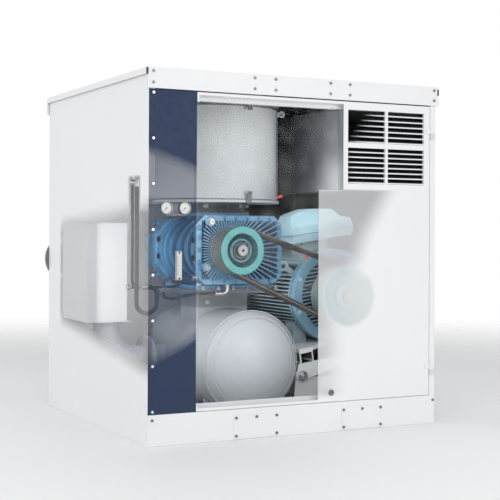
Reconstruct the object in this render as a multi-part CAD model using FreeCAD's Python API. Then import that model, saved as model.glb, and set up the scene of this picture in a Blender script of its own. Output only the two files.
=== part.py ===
import FreeCAD
import Part
import math
import os

# Roots blower package in its sound enclosure: a three-lobe blower on a discharge tank,
# driven by five V-belts from a motor on a hinged base, with an inlet filter silencer above.
# Millimetres. X runs right along the front, Y runs back, Z runs up. The origin is the
# centre of the footprint, on the floor.

# Enclosure
width = 1350.0
depth = 1240.0
height = 1466.0
base_height = 122.0
base_sheet = 4.0
base_flange = 70.0
fascia_height = 81.0
roof_overhang = 10.0
roof_lip = 25.0
sheet = 2.0
panel_fold = 28.0
post_size = 30.0
post_wall = 2.5
foam = 30.0
roof_foam = 20.0
header_drop = 34.0
sill_height = 28.0
sill_setback = 36.0
seam = 2.0
seat = 0.2
pan_sheet = 3.0
member_width = 60.0
member_height = 30.0
member_wall = 4.0
anchor_hole = 9.0
bolt_head_radius = 6.0
bolt_head_height = 4.0

# Lifting openings in the front and rear rails, closed by bolted covers
lift_centres = (-202.0, 302.0)
lift_width = 160.0
lift_height = 52.0
lift_level = 51.0
lift_cover_margin = 22.0

# Instrument panel at the front left, with two gauges and a sight level
strip_width = 203.0
gauge_radius = 25.0
gauge_depth = 30.0
gauge_level = 923.0
gauge_offsets = (74.0, 152.0)
sight_offset = 126.5
sight_bottom = 642.0
sight_width = 25.0
sight_length = 114.0

# Door with a clear window and two banks of louvres
door_left_stile = 8.0
door_gap = 2.0
window_edge = 85.0
louvre_margin = 22.0
louvre_mullion = 14.0
louvre_top_margin = 33.0
louvre_low_margin = 29.0
louvre_split_share = 0.556
louvre_split_height = 22.0
louvre_pitch = 22.3
blade_sheet = 2.0
blade_depth = 24.0
pane = 5.0
pane_overlap = 12.0
hinge_low = 210.0
hinge_drop = 145.0
hinge_length = 52.0
knuckle_radius = 4.5
hinge_pin_radius = 2.5
latch_x = 149.0
latch_level = 162.5
latch_radius = 9.0

# Cooling air duct behind the louvres
duct_left = 205.0
duct_bottom = 1008.0
duct_back = -60.0
duct_mouth = 160.0

# Three-lobe blower
gear_module = 5.0
gear_teeth = 24
gear_width = 35.0
gear_backlash = 0.5
lobes = 3
rotor_length = 358.0
rotor_gap = 0.45
rotor_end_gap = 0.5
blower_x = -80.0
blower_z = 752.0
shaft_radius = 25.0
bearing_radius = 50.0
bearing_width = 20.0
barrel_radius = 132.0
rib_radius = 150.0
rib_count = 4
rib_thickness = 14.0
end_plate = 25.0
cover_half_width = 207.0
cover_half_height = 150.0
cover_plate = 20.0
fin_count = 64
fin_thickness = 4.0
fin_height = 24.0
fin_margin = 24.0
cover_corner = 38.0
cover_hub_radius = 110.0
cover_hub_nose = 58.0
cover_hub_length = 38.0
cover_plugs = ((-93.0, 122.0), (-110.0, -71.0))
plug_boss_radius = 19.0
gear_cover_half_width = 220.0
gear_cover_half_height = 138.0
gear_cover_depth = 120.0
foot_flange = 18.0
foot_drop = 156.0
port_half_width = 66.0
port_front = -45.0
port_back = 115.0
top_flange = 14.0

# Belt drive
belt_count = 5
belt_pitch = 19.0
belt_edge = 12.5
belt_top_width = 16.3
belt_height = 13.0
belt_gap = 0.5
blower_pulley_diameter = 198.0
motor_pulley_diameter = 264.0
belt_proud = 3.5
groove_depth = 15.0
pulley_front = -371.0
pulley_rim = 30.0
pulley_recess = 46.0
bush_radius = 42.0
bush_length = 62.0
bush_screws = 3
bush_screw_radius = 7.0

# Motor, 200 mm shaft height, on a hinged base that leans at rest
motor_right_margin = 285.0
motor_z = 546.0
motor_tilt = 8.5
motor_height = 200.0
motor_shaft_radius = 27.5
motor_fin_radius = 205.0
motor_body_radius = 178.0
motor_bore = 160.0
motor_fin_pitch = 16.5
motor_fin_thickness = 5.0
motor_fin_side = 7
motor_front = -185.0
motor_back = 225.0
shield_depth = 60.0
shield_ring_radius = 210.0
shield_ring_bore = 166.0
rear_shield = 30.0
cowl_length = 145.0
cowl_wall = 3.0
cowl_lap = 8.0
fan_radius = 150.0
fan_hub_radius = 36.0
fan_length = 44.0
fan_blades = 8
fan_sheet = 4.0
stator_inner = 104.5
air_gap = 1.0
foot_spacing = 318.0
foot_width = 70.0
foot_length = 80.0
eye_angle = 140.0
eye_reach = 250.0
terminal_left_reach = 124.0
terminal_right_reach = 207.0
terminal_front = -150.0
terminal_back = 3.0
terminal_rise = 250.0
terminal_split = 37.0
terminal_fold = 72.0
terminal_height = 148.0
pivot_reach = 200.0
pivot_z = 197.0
pivot_radius = 12.0
pivot_boss = 26.0
arm_thickness = 8.0
arm_front = -302.0
arm_back = 265.0
arm_gap = 2.0
base_plate = 16.0
slot_half = 75.0
channel_width = 67.0
channel_height = 48.5
channel_wall = 5.0
plate_corner = 61.0
bar_depth = 25.5
jack_reach = 165.0
jack_y = -333.0
jack_rod = 10.0
jack_clearance = 5.0
collar_lift = 28.0
ball_radius = 22.0
ball_seat = 0.3
can_radius = 29.0
can_wall = 3.0
can_length = 183.5
spring_wire = 5.0
spring_turns = 6
running = 0.05

# Discharge tank
tank_x = -60.0
tank_clearance = 4.0
tank_radius = 224.0
tank_wall = 5.0
tank_front = -278.0
tank_back = 340.0
dome_depth = 90.0
saddle_width = 300.0
saddle_thickness = 12.0
saddle_height = 90.0
neck_half_width = 122.0
neck_front = -57.0
neck_back = 133.0
neck_wall = 6.0
deck_thickness = 18.0
core_radius = 90.0

# Outlet line
pipe_radius = 57.15
pipe_wall = 4.0
outlet_y = 158.0
outlet_drop = 9.0
riser_margin = 117.0
elbow_radius = 152.0
flange_radius = 100.0
flange_thickness = 14.0
joint_run = 40.0
box_width = 187.0
box_front = 80.0
box_back = 430.0
box_rise = 22.0
box_top = 868.0
box_sheet = 3.0
outlet_flange_radius = 110.0
outlet_pcd = 180.0
outlet_bolts = 8
outlet_bolt_radius = 9.0
exit_z = 700.0

# Inlet filter silencer
canister_x = -100.0
canister_y = 45.0
canister_radius = 310.0
canister_bottom = 960.0
canister_headroom = 32.0
canister_sheet = 2.0
lid_height = 26.0
rim = 6.0
cartridge_radius = 200.0
cartridge_bore = 140.0
pleats = 36
cartridge_headroom = 94.0
intake_radius = 75.0
intake_lift = 3.0
intake_flange = 20.0
clip_x = -62.0
clip_width = 24.0
clip_pivot = 42.0

# Hoses and fittings
thin_hose = 6.0
thick_hose = 9.0
fitting_radius = 12.0
line_margin = 35.0
gauge_line_y = -364.0
gauge_line_top = 1030.0
gauge_line_drop = 115.0
drain_y = -412.0
drain_top = 1012.0
drain_step = 36.0
drain_loop = 87.0
drain_z = 606.0
line_z = 598.0
balance_elbow_x = -195.0
balance_elbow_z = 563.0

# Screws of the roof bands, between those at their ends
band_screws = (-221.0, -125.0, 134.0, 229.0)
band_screw_margin = 14.0

V = FreeCAD.Vector
half_width = width / 2
half_depth = depth / 2
fascia_bottom = height - fascia_height
panel_top = height - sheet - seam
inner_x = half_width - sheet - foam
gauge_xs = tuple(-half_width + offset for offset in gauge_offsets)
sight_x = -half_width + sight_offset
post_x = half_width - sheet
post_inner = post_x - post_size
post_front = -half_depth + panel_fold + 4.0
post_back = half_depth - sheet - foam
ring_top = fascia_bottom - 4.0
ring_bottom = fascia_bottom - header_drop
member_top = base_sheet + pan_sheet + member_height
motor_x = half_width - motor_right_margin
tank_z = member_top + tank_clearance + tank_radius
outlet_z = tank_z - outlet_drop
riser_x = -half_width + riser_margin
joint_x = riser_x + elbow_radius + joint_run
box_bottom = outlet_z + elbow_radius + box_rise
box_right = -half_width + box_width
line_x = -half_width + line_margin
centre_distance = gear_module * gear_teeth
pitch_radius = centre_distance / 2
drive_x = blower_x - pitch_radius
idler_x = blower_x + pitch_radius
roll_radius = pitch_radius / (2 * lobes)
tip_radius = pitch_radius + 2 * roll_radius
bore_radius = tip_radius + rotor_gap
bore_half = rotor_length / 2 + rotor_end_gap
plate_front = -bore_half - end_plate
plate_back = bore_half + end_plate
pulley_width = (belt_count - 1) * belt_pitch + 2 * belt_edge
pulley_back = pulley_front + pulley_width
canister_top = height - canister_headroom
canister_height = canister_top - canister_bottom
cartridge_length = canister_height - cartridge_headroom
intake_level = canister_bottom + canister_height / 2 + intake_lift
foot_plane = motor_z - motor_height
plate_low = foot_plane - base_plate
bar_top = plate_low - channel_height
terminal_bottom = motor_z + terminal_rise
pivot_x = motor_x - pivot_reach
jack_x = motor_x + jack_reach
lean = math.radians(motor_tilt)
arm_pivot_x = motor_x - pivot_reach * math.cos(lean) + (pivot_z - motor_z) * math.sin(lean)
arm_pivot_z = motor_z + pivot_reach * math.sin(lean) + (pivot_z - motor_z) * math.cos(lean)
shelf_low = base_height + 2
shelf_top = shelf_low + arm_thickness
ball_z = shelf_top + ball_radius + 2
ball_drop = (motor_z + jack_reach * math.sin(lean) - ball_z) / math.cos(lean)
ball_x = motor_x + jack_reach * math.cos(lean) + ball_drop * math.sin(lean)
arm_front_inner = arm_front + arm_thickness
arm_back_inner = arm_back - arm_thickness
member_ys = (arm_front_inner + arm_gap + arm_thickness / 2, -140.0,
             arm_back_inner - arm_gap - arm_thickness / 2)
door_left = -half_width + strip_width + door_gap
door_right = inner_x + 5.0 - door_gap
door_bottom = base_height + door_gap
door_top = fascia_bottom - 2 * door_gap
door_front = -half_depth
hinge_levels = (hinge_low, door_top - hinge_drop)
louvre_left = duct_left + louvre_margin
louvre_right = inner_x - louvre_margin - 7.0
louvre_top = door_top - louvre_top_margin
louvre_bottom = duct_bottom + louvre_low_margin
louvre_split = louvre_bottom + louvre_split_share * (louvre_top - louvre_bottom)
fascia_front = half_depth + roof_overhang
os.makedirs("parts", exist_ok=True)


def box(x0, x1, y0, y1, z0, z1):
    return Part.makeBox(x1 - x0, y1 - y0, z1 - z0, V(x0, y0, z0))


def rod_x(radius, x0, x1, y, z):
    return Part.makeCylinder(radius, x1 - x0, V(x0, y, z), V(1, 0, 0))


def rod_y(radius, y0, y1, x, z):
    return Part.makeCylinder(radius, y1 - y0, V(x, y0, z), V(0, 1, 0))


def rod_z(radius, z0, z1, x, y):
    return Part.makeCylinder(radius, z1 - z0, V(x, y, z0), V(0, 0, 1))


def prism(points, travel):
    wire = Part.makePolygon(points + [points[0]])
    return Part.Face(wire).extrude(travel)


def prism_x(outline, x0, x1):
    return prism([V(x0, y, z) for y, z in outline], V(x1 - x0, 0, 0))


def prism_y(outline, y0, y1):
    return prism([V(x, y0, z) for x, z in outline], V(0, y1 - y0, 0))


def prism_z(outline, z0, z1):
    return prism([V(x, y, z0) for x, y in outline], V(0, 0, z1 - z0))


def turned_y(profile, x, z):
    # profile points are (y, radius) about an axis along Y
    wire = Part.makePolygon([V(x + r, y, z) for y, r in profile + [profile[0]]])
    return Part.Face(wire).revolve(V(x, 0, z), V(0, 1, 0), 360)


def turned_z(profile, x, y):
    # profile points are (radius, z) about an upright axis
    wire = Part.makePolygon([V(x + r, y, z) for r, z in profile + [profile[0]]])
    return Part.Face(wire).revolve(V(x, y, 0), V(0, 0, 1), 360)


def tilted(shape):
    # turns a part of the motor or its base from upright to the way it stands at rest
    leaning = shape.copy()
    leaning.rotate(V(motor_x, 0, motor_z), V(0, -1, 0), motor_tilt)
    return leaning


def joined(shapes):
    return shapes[0].multiFuse(shapes[1:]).removeSplitter()


def without(shape, tools):
    return shape.cut(Part.makeCompound(tools))


def hex_head(x, y, z, direction, radius=bolt_head_radius, length=bolt_head_height):
    # hexagonal bolt head whose seat is at the given point
    corners = []
    for k in range(6):
        angle = math.radians(60 * k)
        corners.append(V(radius * math.cos(angle), radius * math.sin(angle), 0))
    head = prism(corners, V(0, 0, length))
    turn = FreeCAD.Rotation(V(0, 0, 1), direction)
    head.Placement = FreeCAD.Placement(V(x, y, z), turn)
    return head


def cassette(x0, x1, y0, y1, z0, z1, face):
    # folded sheet tray; face names the side that carries the sheet
    inner = [x0 + sheet, x1 - sheet, y0 + sheet, y1 - sheet, z0 + sheet, z1 - sheet]
    reach = 1.0
    if face == "left":
        inner[1] = x1 + reach
    if face == "right":
        inner[0] = x0 - reach
    if face == "front":
        inner[3] = y1 + reach
    if face == "rear":
        inner[2] = y0 - reach
    return box(x0, x1, y0, y1, z0, z1).cut(box(*inner))


def save(name, *solids):
    shape = solids[0] if len(solids) == 1 else Part.makeCompound(list(solids))
    shape.exportStep("parts/" + name + ".step")
    volumes = [solid.Volume for solid in shape.Solids]
    print(name, len(volumes), round(sum(volumes) / 1000.0, 1), "cm3", shape.isValid())


def make_base():
    outer = box(-half_width, half_width, -half_depth, half_depth, 0, base_height)
    inner_w = half_width - base_sheet
    inner_d = half_depth - base_sheet
    hollow = box(-inner_w, inner_w, -inner_d, inner_d, base_sheet, base_height - base_sheet)
    open_w = half_width - base_flange
    open_d = half_depth - base_flange
    centre = box(-open_w, open_w, -open_d, open_d, -1, base_height + 1)
    cuts = [hollow, centre]
    for x in lift_centres:
        cuts.append(box(x - lift_width / 2, x + lift_width / 2, -half_depth - 1, half_depth + 1,
                        lift_level - lift_height / 2, lift_level + lift_height / 2))
    anchor_x = half_width - base_flange / 2
    anchor_y = half_depth - base_flange / 2
    for x in (-anchor_x, anchor_x):
        for y in (-anchor_y, anchor_y):
            cuts.append(rod_z(anchor_hole, -1, base_sheet + 1, x, y))
    frame = without(outer, cuts)
    sill_y = -half_depth + sill_setback
    sill = box(door_left + 1, post_inner - 1, sill_y, sill_y + sheet, base_height,
               base_height + sill_height)
    save("base_frame", frame, sill)

    pan_w = inner_w - seat
    pan_d = inner_d - seat
    pan = box(-pan_w, pan_w, -pan_d, pan_d, base_sheet, base_sheet + pan_sheet)
    holes = []
    for x in (-anchor_x, anchor_x):
        for y in (-anchor_y, anchor_y):
            holes.append(rod_z(anchor_hole, 0, member_top, x, y))
    solids = [without(pan, holes)]
    low = base_sheet + pan_sheet
    for y in member_ys:
        tube = box(-open_w, open_w, y - member_width / 2, y + member_width / 2, low, member_top)
        void = box(-open_w - 1, open_w + 1, y - member_width / 2 + member_wall,
                   y + member_width / 2 - member_wall, low + member_wall, member_top - member_wall)
        solids.append(tube.cut(void))
    save("floor_pan", *solids)

    covers = []
    wide = lift_width / 2 + lift_cover_margin
    tall = lift_height / 2 + lift_cover_margin - 2
    for x in lift_centres:
        for y in (-half_depth - sheet, half_depth):
            covers.append(box(x - wide, x + wide, y, y + sheet, lift_level - tall, lift_level + tall))
    save("lifting_covers", *covers)


def square_tube(x0, x1, y0, y1, z0, z1, axis):
    inner = [x0 + post_wall, x1 - post_wall, y0 + post_wall, y1 - post_wall, z0 + post_wall,
             z1 - post_wall]
    inner[2 * axis] -= 2 * post_wall
    inner[2 * axis + 1] += 2 * post_wall
    return box(x0, x1, y0, y1, z0, z1).cut(box(*inner))


def make_upper_frame():
    near = post_front
    far = post_back - post_size
    left = -post_x
    right = post_inner
    top = height - sheet
    pieces = []
    for x in (left, right):
        for y in (near, far):
            pieces.append(square_tube(x, x + post_size, y, y + post_size, base_height, top, 2))
    for y in (near, far):
        pieces.append(square_tube(left + post_size, right, y, y + post_size,
                                  ring_bottom, ring_top, 0))
    for x in (left, right):
        pieces.append(square_tube(x, x + post_size, near + post_size, far,
                                  ring_bottom, ring_top, 1))
    save("upper_frame", *pieces)


def make_panels():
    fold = half_width - panel_fold + 1
    right = cassette(fold, half_width, -half_depth, half_depth, base_height, panel_top, "right")
    left = cassette(-half_width, -fold, -half_depth + sheet, half_depth, base_height, panel_top,
                    "left")
    # the folded edges are notched round the corner posts
    posts = [box(x, x + post_size, y, y + post_size, 0, height)
             for x in (-post_x, post_inner) for y in (post_front, post_back - post_size)]
    save("side_panel_right", without(right, posts))
    save("side_panel_left", without(left, posts))
    rear = cassette(-fold, fold, half_depth - panel_fold, half_depth, base_height, panel_top, "rear")
    exit_x = (box_right - half_width) / 2
    openings = [rod_y(outlet_flange_radius - 8, 0, half_depth + 1, exit_x, exit_z),
                rod_y(intake_radius + 1, 0, half_depth + 1, canister_x, intake_level)]
    save("rear_panel", without(rear, openings))

    low = base_height + sheet + 2
    high = panel_top - sheet - 2
    side = box(inner_x, inner_x + foam, post_front + post_size + 1, post_back - post_size - 1, low,
               ring_bottom - 1)
    back = box(-fold + 4, fold - 4, post_back, post_back + foam, low, high)
    back = without(back, openings)
    roof = box(-post_inner + 2, post_inner - 2, post_front + post_size + 2,
               post_back - post_size - 2, height - sheet - roof_foam, height - sheet)
    save("acoustic_lining", side, back, roof)

    reach_x = half_width + roof_overhang
    reach_y = fascia_front - base_sheet
    tray = box(-reach_x, reach_x, -reach_y, reach_y, height - roof_lip, height)
    hollow = box(-reach_x + sheet, reach_x - sheet, -reach_y + sheet, reach_y - sheet,
                 0, height - sheet)
    save("roof_panel", tray.cut(hollow))
    bands = []
    for side in (-1, 1):
        outer = side * fascia_front
        plate_y = sorted((outer, outer - side * base_sheet))
        flange_y = sorted((outer - side * base_sheet, side * (half_depth + seam)))
        plate = box(-reach_x, reach_x, plate_y[0], plate_y[1], fascia_bottom, height)
        flange = box(-half_width, half_width, flange_y[0], flange_y[1], fascia_bottom,
                     fascia_bottom + sheet)
        bands.append(joined([plate, flange]))
    save("roof_fascia", *bands)


def make_instrument_panel():
    x0 = -half_width
    x1 = -half_width + strip_width
    y0 = -half_depth
    top = fascia_bottom - seam
    panel = box(x0, x1, y0, y0 + sheet, base_height, top)
    fold = box(x1 - sheet, x1, y0, y0 + panel_fold, base_height, top)
    folded_x = -half_width + panel_fold
    foot = box(folded_x, x1, y0, y0 + panel_fold, base_height, base_height + sheet)
    head = box(folded_x, x1, y0, y0 + panel_fold, top - sheet, top)
    holes = [rod_y(gauge_radius - 3, y0 - 1, y0 + 9, x, gauge_level) for x in gauge_xs]
    save("instrument_panel", without(joined([panel, fold, foot, head]), holes))

    cases = []
    for x in gauge_xs:
        r = gauge_radius
        case = turned_y([(y0 - 7, r - 3), (y0 - 7, r - 0.8), (y0 - 6, r), (y0, r), (y0, r - 3.5),
                         (y0 + 20, r - 3.5), (y0 + gauge_depth, r - 7), (y0 + gauge_depth, 0),
                         (y0 - 2, 0), (y0 - 2, r - 3)], x, gauge_level)
        pin = rod_y(1.0, y0 - 4.6, y0 - 1.5, x, gauge_level)
        stem = rod_y(5.0, y0 + gauge_depth - 1, y0 + gauge_depth + 14, x, gauge_level)
        cases.append(joined([case, pin, stem]))
    half = (gauge_xs[1] - gauge_xs[0]) / 2
    middle = (gauge_xs[0] + gauge_xs[1]) / 2
    plate = box(middle - half, middle + half, y0 + sheet, y0 + 2 * sheet,
                gauge_level - 30, gauge_level + 17)
    plate = without(plate, [rod_y(gauge_radius - 3, y0, y0 + 9, x, gauge_level) for x in gauge_xs])
    save("gauge_cases", *cases, plate)

    for name, x in zip(("gauge_needle_left", "gauge_needle_right"), gauge_xs):
        hub = rod_y(2.6, y0 - 4.4, y0 - 2.8, x, gauge_level)
        length = gauge_radius - 7
        zero = math.radians(225)
        tip = (math.cos(zero), math.sin(zero))
        side = (-tip[1], tip[0])
        outline = [(x + tip[0] * length, gauge_level + tip[1] * length),
                   (x + side[0] * 1.2, gauge_level + side[1] * 1.2),
                   (x - tip[0] * 6, gauge_level - tip[1] * 6),
                   (x - side[0] * 1.2, gauge_level - side[1] * 1.2)]
        pointer = prism_y(outline, y0 - 4.0, y0 - 3.2)
        save(name, joined([hub, pointer]).cut(rod_y(1.0 + running, y0 - 9, y0, x, gauge_level)))

    x0 = sight_x - sight_width / 2
    z1 = sight_bottom + sight_length
    body = box(x0, x0 + sight_width, y0 - 7, y0, sight_bottom, z1)
    slot = box(sight_x - 5, sight_x + 5, y0 - 8, y0 - 3, sight_bottom + 18, z1 - 18)
    tube = rod_z(4.0, sight_bottom + 18, z1 - 18, sight_x, y0 - 3)
    tube = tube.common(box(x0, x0 + sight_width, y0 - 7, y0 - 3, sight_bottom, z1))
    caps = [rod_y(6.5, y0 - 9, y0 - 7, sight_x, z) for z in (sight_bottom + 9, z1 - 9)]
    save("oil_level_gauge", joined([body.cut(slot), tube] + caps))


def louvre_openings():
    # four openings: two columns, two banks, as (x0, x1, z0, z1, rows)
    middle = (louvre_left + louvre_right) / 2
    columns = ((louvre_left, middle - louvre_mullion / 2), (middle + louvre_mullion / 2, louvre_right))
    banks = ((louvre_split, louvre_top), (louvre_bottom, louvre_split - louvre_split_height))
    return [(x0, x1, z0, z1, max(1, round((z1 - z0) / louvre_pitch)))
            for x0, x1 in columns for z0, z1 in banks]


def make_door():
    y0 = door_front
    shell = cassette(door_left, door_right, y0, y0 + panel_fold, door_bottom, door_top, "front")
    win_left = door_left + door_left_stile
    win_low = door_bottom + sheet + 10
    win_high = door_top - sheet - 10
    step = duct_bottom
    outline = [(win_left, win_low), (window_edge, win_low), (window_edge, step),
               (duct_left, step), (duct_left, win_high), (win_left, win_high)]
    cuts = [prism_y(outline, y0 - 1, y0 + sheet + 1)]
    for x0, x1, z0, z1, rows in louvre_openings():
        cuts.append(box(x0, x1, y0 - 1, y0 + sheet + 1, z0, z1))
    cuts.append(rod_y(latch_radius + running, y0 - 1, y0 + sheet + 1, latch_x, latch_level))
    door = without(shell, cuts)
    leaves = []
    pin_x = inner_x + 7.0
    pin_y = y0 - 5.0
    for z in hinge_levels:
        middle = z + hinge_length / 2
        leaf = box(door_right - 24, door_right + 1.0, y0 - 3, y0, middle + 0.3, z + hinge_length)
        knuckle = rod_z(knuckle_radius, middle + 0.3, z + hinge_length, pin_x, pin_y)
        eye = rod_z(hinge_pin_radius + running, middle - 1, z + hinge_length + 1, pin_x, pin_y)
        leaves.append((leaf, knuckle, eye))
    door = joined([door] + [part for leaf, knuckle, eye in leaves for part in (leaf, knuckle)])
    save("door_panel", without(door, [eye for leaf, knuckle, eye in leaves]))

    lap = pane_overlap
    glass = [(win_left - 5, win_low - 8), (window_edge + lap, win_low - 8),
             (window_edge + lap, step - lap), (duct_left + lap, step - lap),
             (duct_left + lap, win_high + 8), (win_left - 5, win_high + 8)]
    save("door_window", prism_y(glass, y0 + sheet, y0 + sheet + pane))

    blades = []
    for x0, x1, z0, z1, rows in louvre_openings():
        pitch = (z1 - z0) / rows
        for k in range(rows):
            z = z0 + pitch * k + 1.0
            rise = pitch * 0.72
            thick = blade_sheet
            outline = [(y0 + 1, z), (y0 + 1, z + 5), (y0 + 1 + thick, z + 5),
                       (y0 + 1 + thick, z + thick), (y0 + 4, z + thick),
                       (y0 + blade_depth, z + rise), (y0 + blade_depth, z + rise - thick),
                       (y0 + 4 + thick, z)]
            blades.append(prism_x(outline, x0, x1))
    frames = []
    for x0, x1, z0, z1, rows in louvre_openings():
        for x in (x0 - sheet, x1):
            frames.append(box(x, x + sheet, y0 + sheet, y0 + blade_depth, z0, z1))
    save("louvre_slats", *blades, *frames)

    bearings = []
    for z in hinge_levels:
        middle = z + hinge_length / 2
        leaf = box(pin_x + 3, half_width - 2, y0 - 3, y0, z, middle - 0.3)
        knuckle = rod_z(knuckle_radius, z, middle - 0.3, pin_x, pin_y)
        pin = rod_z(hinge_pin_radius, z, z + hinge_length - 2, pin_x, pin_y)
        bearings.append(joined([leaf, knuckle, pin]))
    save("door_hinges", *bearings)

    sill_back = -half_depth + sill_setback + sheet
    head = rod_y(latch_radius + 4, y0 - 3, y0, latch_x, latch_level)
    slot = box(latch_x - 8, latch_x + 8, y0 - 4, y0 - 1.2, latch_level - 1.5, latch_level + 1.5)
    barrel = rod_y(latch_radius, y0, sill_back + 5, latch_x, latch_level)
    cam = box(latch_x - 9, latch_x + 38, sill_back + 5, sill_back + 9, latch_level - 9,
              latch_level + 9)
    save("door_latch", joined([head.cut(slot), barrel, cam]))


def make_cooling_duct():
    x0 = duct_left
    x1 = inner_x - 1
    y0 = post_front + 6
    y1 = duct_back
    shell = box(x0, x1, y0, y1, duct_bottom, ring_bottom)
    hollow = box(x0 + sheet, x1 - sheet, y0 - 1, y1 - sheet, duct_bottom + sheet, ring_bottom - sheet)
    mouth = box(x0 + 40, x1 - 40, y1 - 20 - duct_mouth, y1 - 20, duct_bottom - 1,
                duct_bottom + sheet + 1)
    save("cooling_duct", without(shell, [hollow, mouth]))


def rotor_profile(clearance, steps=9):
    # cycloidal three-lobe outline about the origin, one lobe tip along +X,
    # set back by the running clearance along its own normal
    big = pitch_radius
    small = roll_radius
    span = math.pi / lobes
    arches = []
    for k in range(2 * lobes):
        start = -span / 2 + k * span
        outside = k % 2 == 0
        points = []
        for i in range(steps + 1):
            t = span * i / steps
            if outside:
                ratio = (big + small) / small
                x = (big + small) * math.cos(t) - small * math.cos(ratio * t)
                y = (big + small) * math.sin(t) - small * math.sin(ratio * t)
            else:
                ratio = (big - small) / small
                x = (big - small) * math.cos(t) + small * math.cos(ratio * t)
                y = (big - small) * math.sin(t) - small * math.sin(ratio * t)
            shrink = 1.0 - clearance / math.hypot(x, y)
            x *= shrink
            y *= shrink
            points.append((x * math.cos(start) - y * math.sin(start),
                           x * math.sin(start) + y * math.cos(start)))
        arches.append(points)
    return arches


def rotor_body(x, z):
    edges = []
    arches = rotor_profile(rotor_gap)
    ends = [arch[0] for arch in arches]
    for k, arch in enumerate(arches):
        following = ends[(k + 1) % len(ends)]
        path = [V(x + u, -rotor_length / 2, z + w) for u, w in arch[:-1] + [following]]
        curve = Part.BSplineCurve()
        curve.interpolate(path)
        edges.append(curve.toShape())
    face = Part.Face(Part.Wire(edges))
    return face.extrude(V(0, rotor_length, 0))


def gear(x, z, y0, y1, phase):
    # involute spur gear, 20 degree pressure angle
    pressure = math.radians(20)
    pitch = gear_module * gear_teeth / 2
    base = pitch * math.cos(pressure)
    tip = pitch + gear_module
    root = pitch - 1.25 * gear_module
    involute = math.tan(pressure) - pressure
    half_tooth = (math.pi * gear_module / 2 - gear_backlash) / 2 / pitch
    outline = []
    for k in range(gear_teeth):
        centre = phase + 2 * math.pi * k / gear_teeth
        flank = []
        for i in range(4):
            r = base + (tip - base) * i / 3
            lean = math.acos(min(1.0, base / r))
            angle = half_tooth + involute - (math.tan(lean) - lean)
            flank.append((r, angle))
        left = [(root, flank[0][1])] + flank
        for r, angle in left:
            outline.append((r, centre - angle))
        for r, angle in reversed(left):
            outline.append((r, centre + angle))
    points = [(x + r * math.cos(a), z + r * math.sin(a)) for r, a in outline]
    return prism_y(points, y0, y1)


def stadium(radius, y0, y1):
    body = box(drive_x, idler_x, y0, y1, blower_z - radius, blower_z + radius)
    return joined([body, rod_y(radius, y0, y1, drive_x, blower_z),
                   rod_y(radius, y0, y1, idler_x, blower_z)])


def chamfered(half_w, half_h, corner, y0, y1):
    x0 = blower_x - half_w
    x1 = blower_x + half_w
    z0 = blower_z - half_h
    z1 = blower_z + half_h
    outline = [(x0 + corner, z0), (x1 - corner, z0), (x1, z0 + corner), (x1, z1 - corner),
               (x1 - corner, z1), (x0 + corner, z1), (x0, z1 - corner), (x0, z0 + corner)]
    return prism_y(outline, y0, y1)


def make_blower():
    foot_z = blower_z - foot_drop - foot_flange
    top_z = blower_z + rib_radius
    solids = [stadium(barrel_radius, -bore_half, bore_half)]
    rib_pitch = 2 * bore_half / (rib_count + 0.3)
    for k in range(rib_count):
        y = -bore_half + rib_pitch * (k + 0.65)
        solids.append(stadium(rib_radius, y - rib_thickness / 2, y + rib_thickness / 2))
    for y in (-bore_half, bore_half - rib_thickness):
        solids.append(stadium(rib_radius, y, y + rib_thickness))
    solids.append(box(blower_x - port_half_width - 34, blower_x + port_half_width + 34,
                      port_front - 25, port_back + 25, foot_z, top_z))
    solids.append(box(blower_x - cover_half_width + 25, blower_x + cover_half_width - 25,
                      -bore_half, bore_half, foot_z, foot_z + foot_flange))
    solids.append(box(blower_x - port_half_width - 50, blower_x + port_half_width + 50,
                      port_front - 40, port_back + 40, top_z, top_z + top_flange))
    casing = joined(solids)
    port = box(blower_x - port_half_width, blower_x + port_half_width, port_front, port_back,
               foot_z - 1, top_z + top_flange + 1)
    casing = without(casing, [stadium_bore(-bore_half - 1, bore_half + 1), port])
    save("blower_casing", casing)

    plates = []
    for y0, y1 in ((plate_front, -bore_half), (bore_half, plate_back)):
        plate = stadium(rib_radius, y0, y1)
        bores = [rod_y(bearing_radius + seat, y0 - 1, y1 + 1, x, blower_z)
                 for x in (drive_x, idler_x)]
        plates.append(without(plate, bores))
    save("blower_end_plates", *plates)

    rings = []
    for y0, y1 in ((plate_front, -bore_half), (bore_half, plate_back)):
        for x in (drive_x, idler_x):
            middle = (y0 + y1) / 2
            ring = turned_y([(middle - bearing_width / 2, shaft_radius + running),
                             (middle - bearing_width / 2, bearing_radius),
                             (middle + bearing_width / 2, bearing_radius),
                             (middle + bearing_width / 2, shaft_radius + running)], x, blower_z)
            rings.append(ring)
    save("rotor_bearings", *rings)
    make_drive_cover()
    make_gear_cover()
    make_rotors()


def stadium_bore(y0, y1):
    # figure-eight bore; the two circles overlap across the middle
    return joined([rod_y(bore_radius, y0, y1, drive_x, blower_z),
                   rod_y(bore_radius, y0, y1, idler_x, blower_z)])


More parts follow.
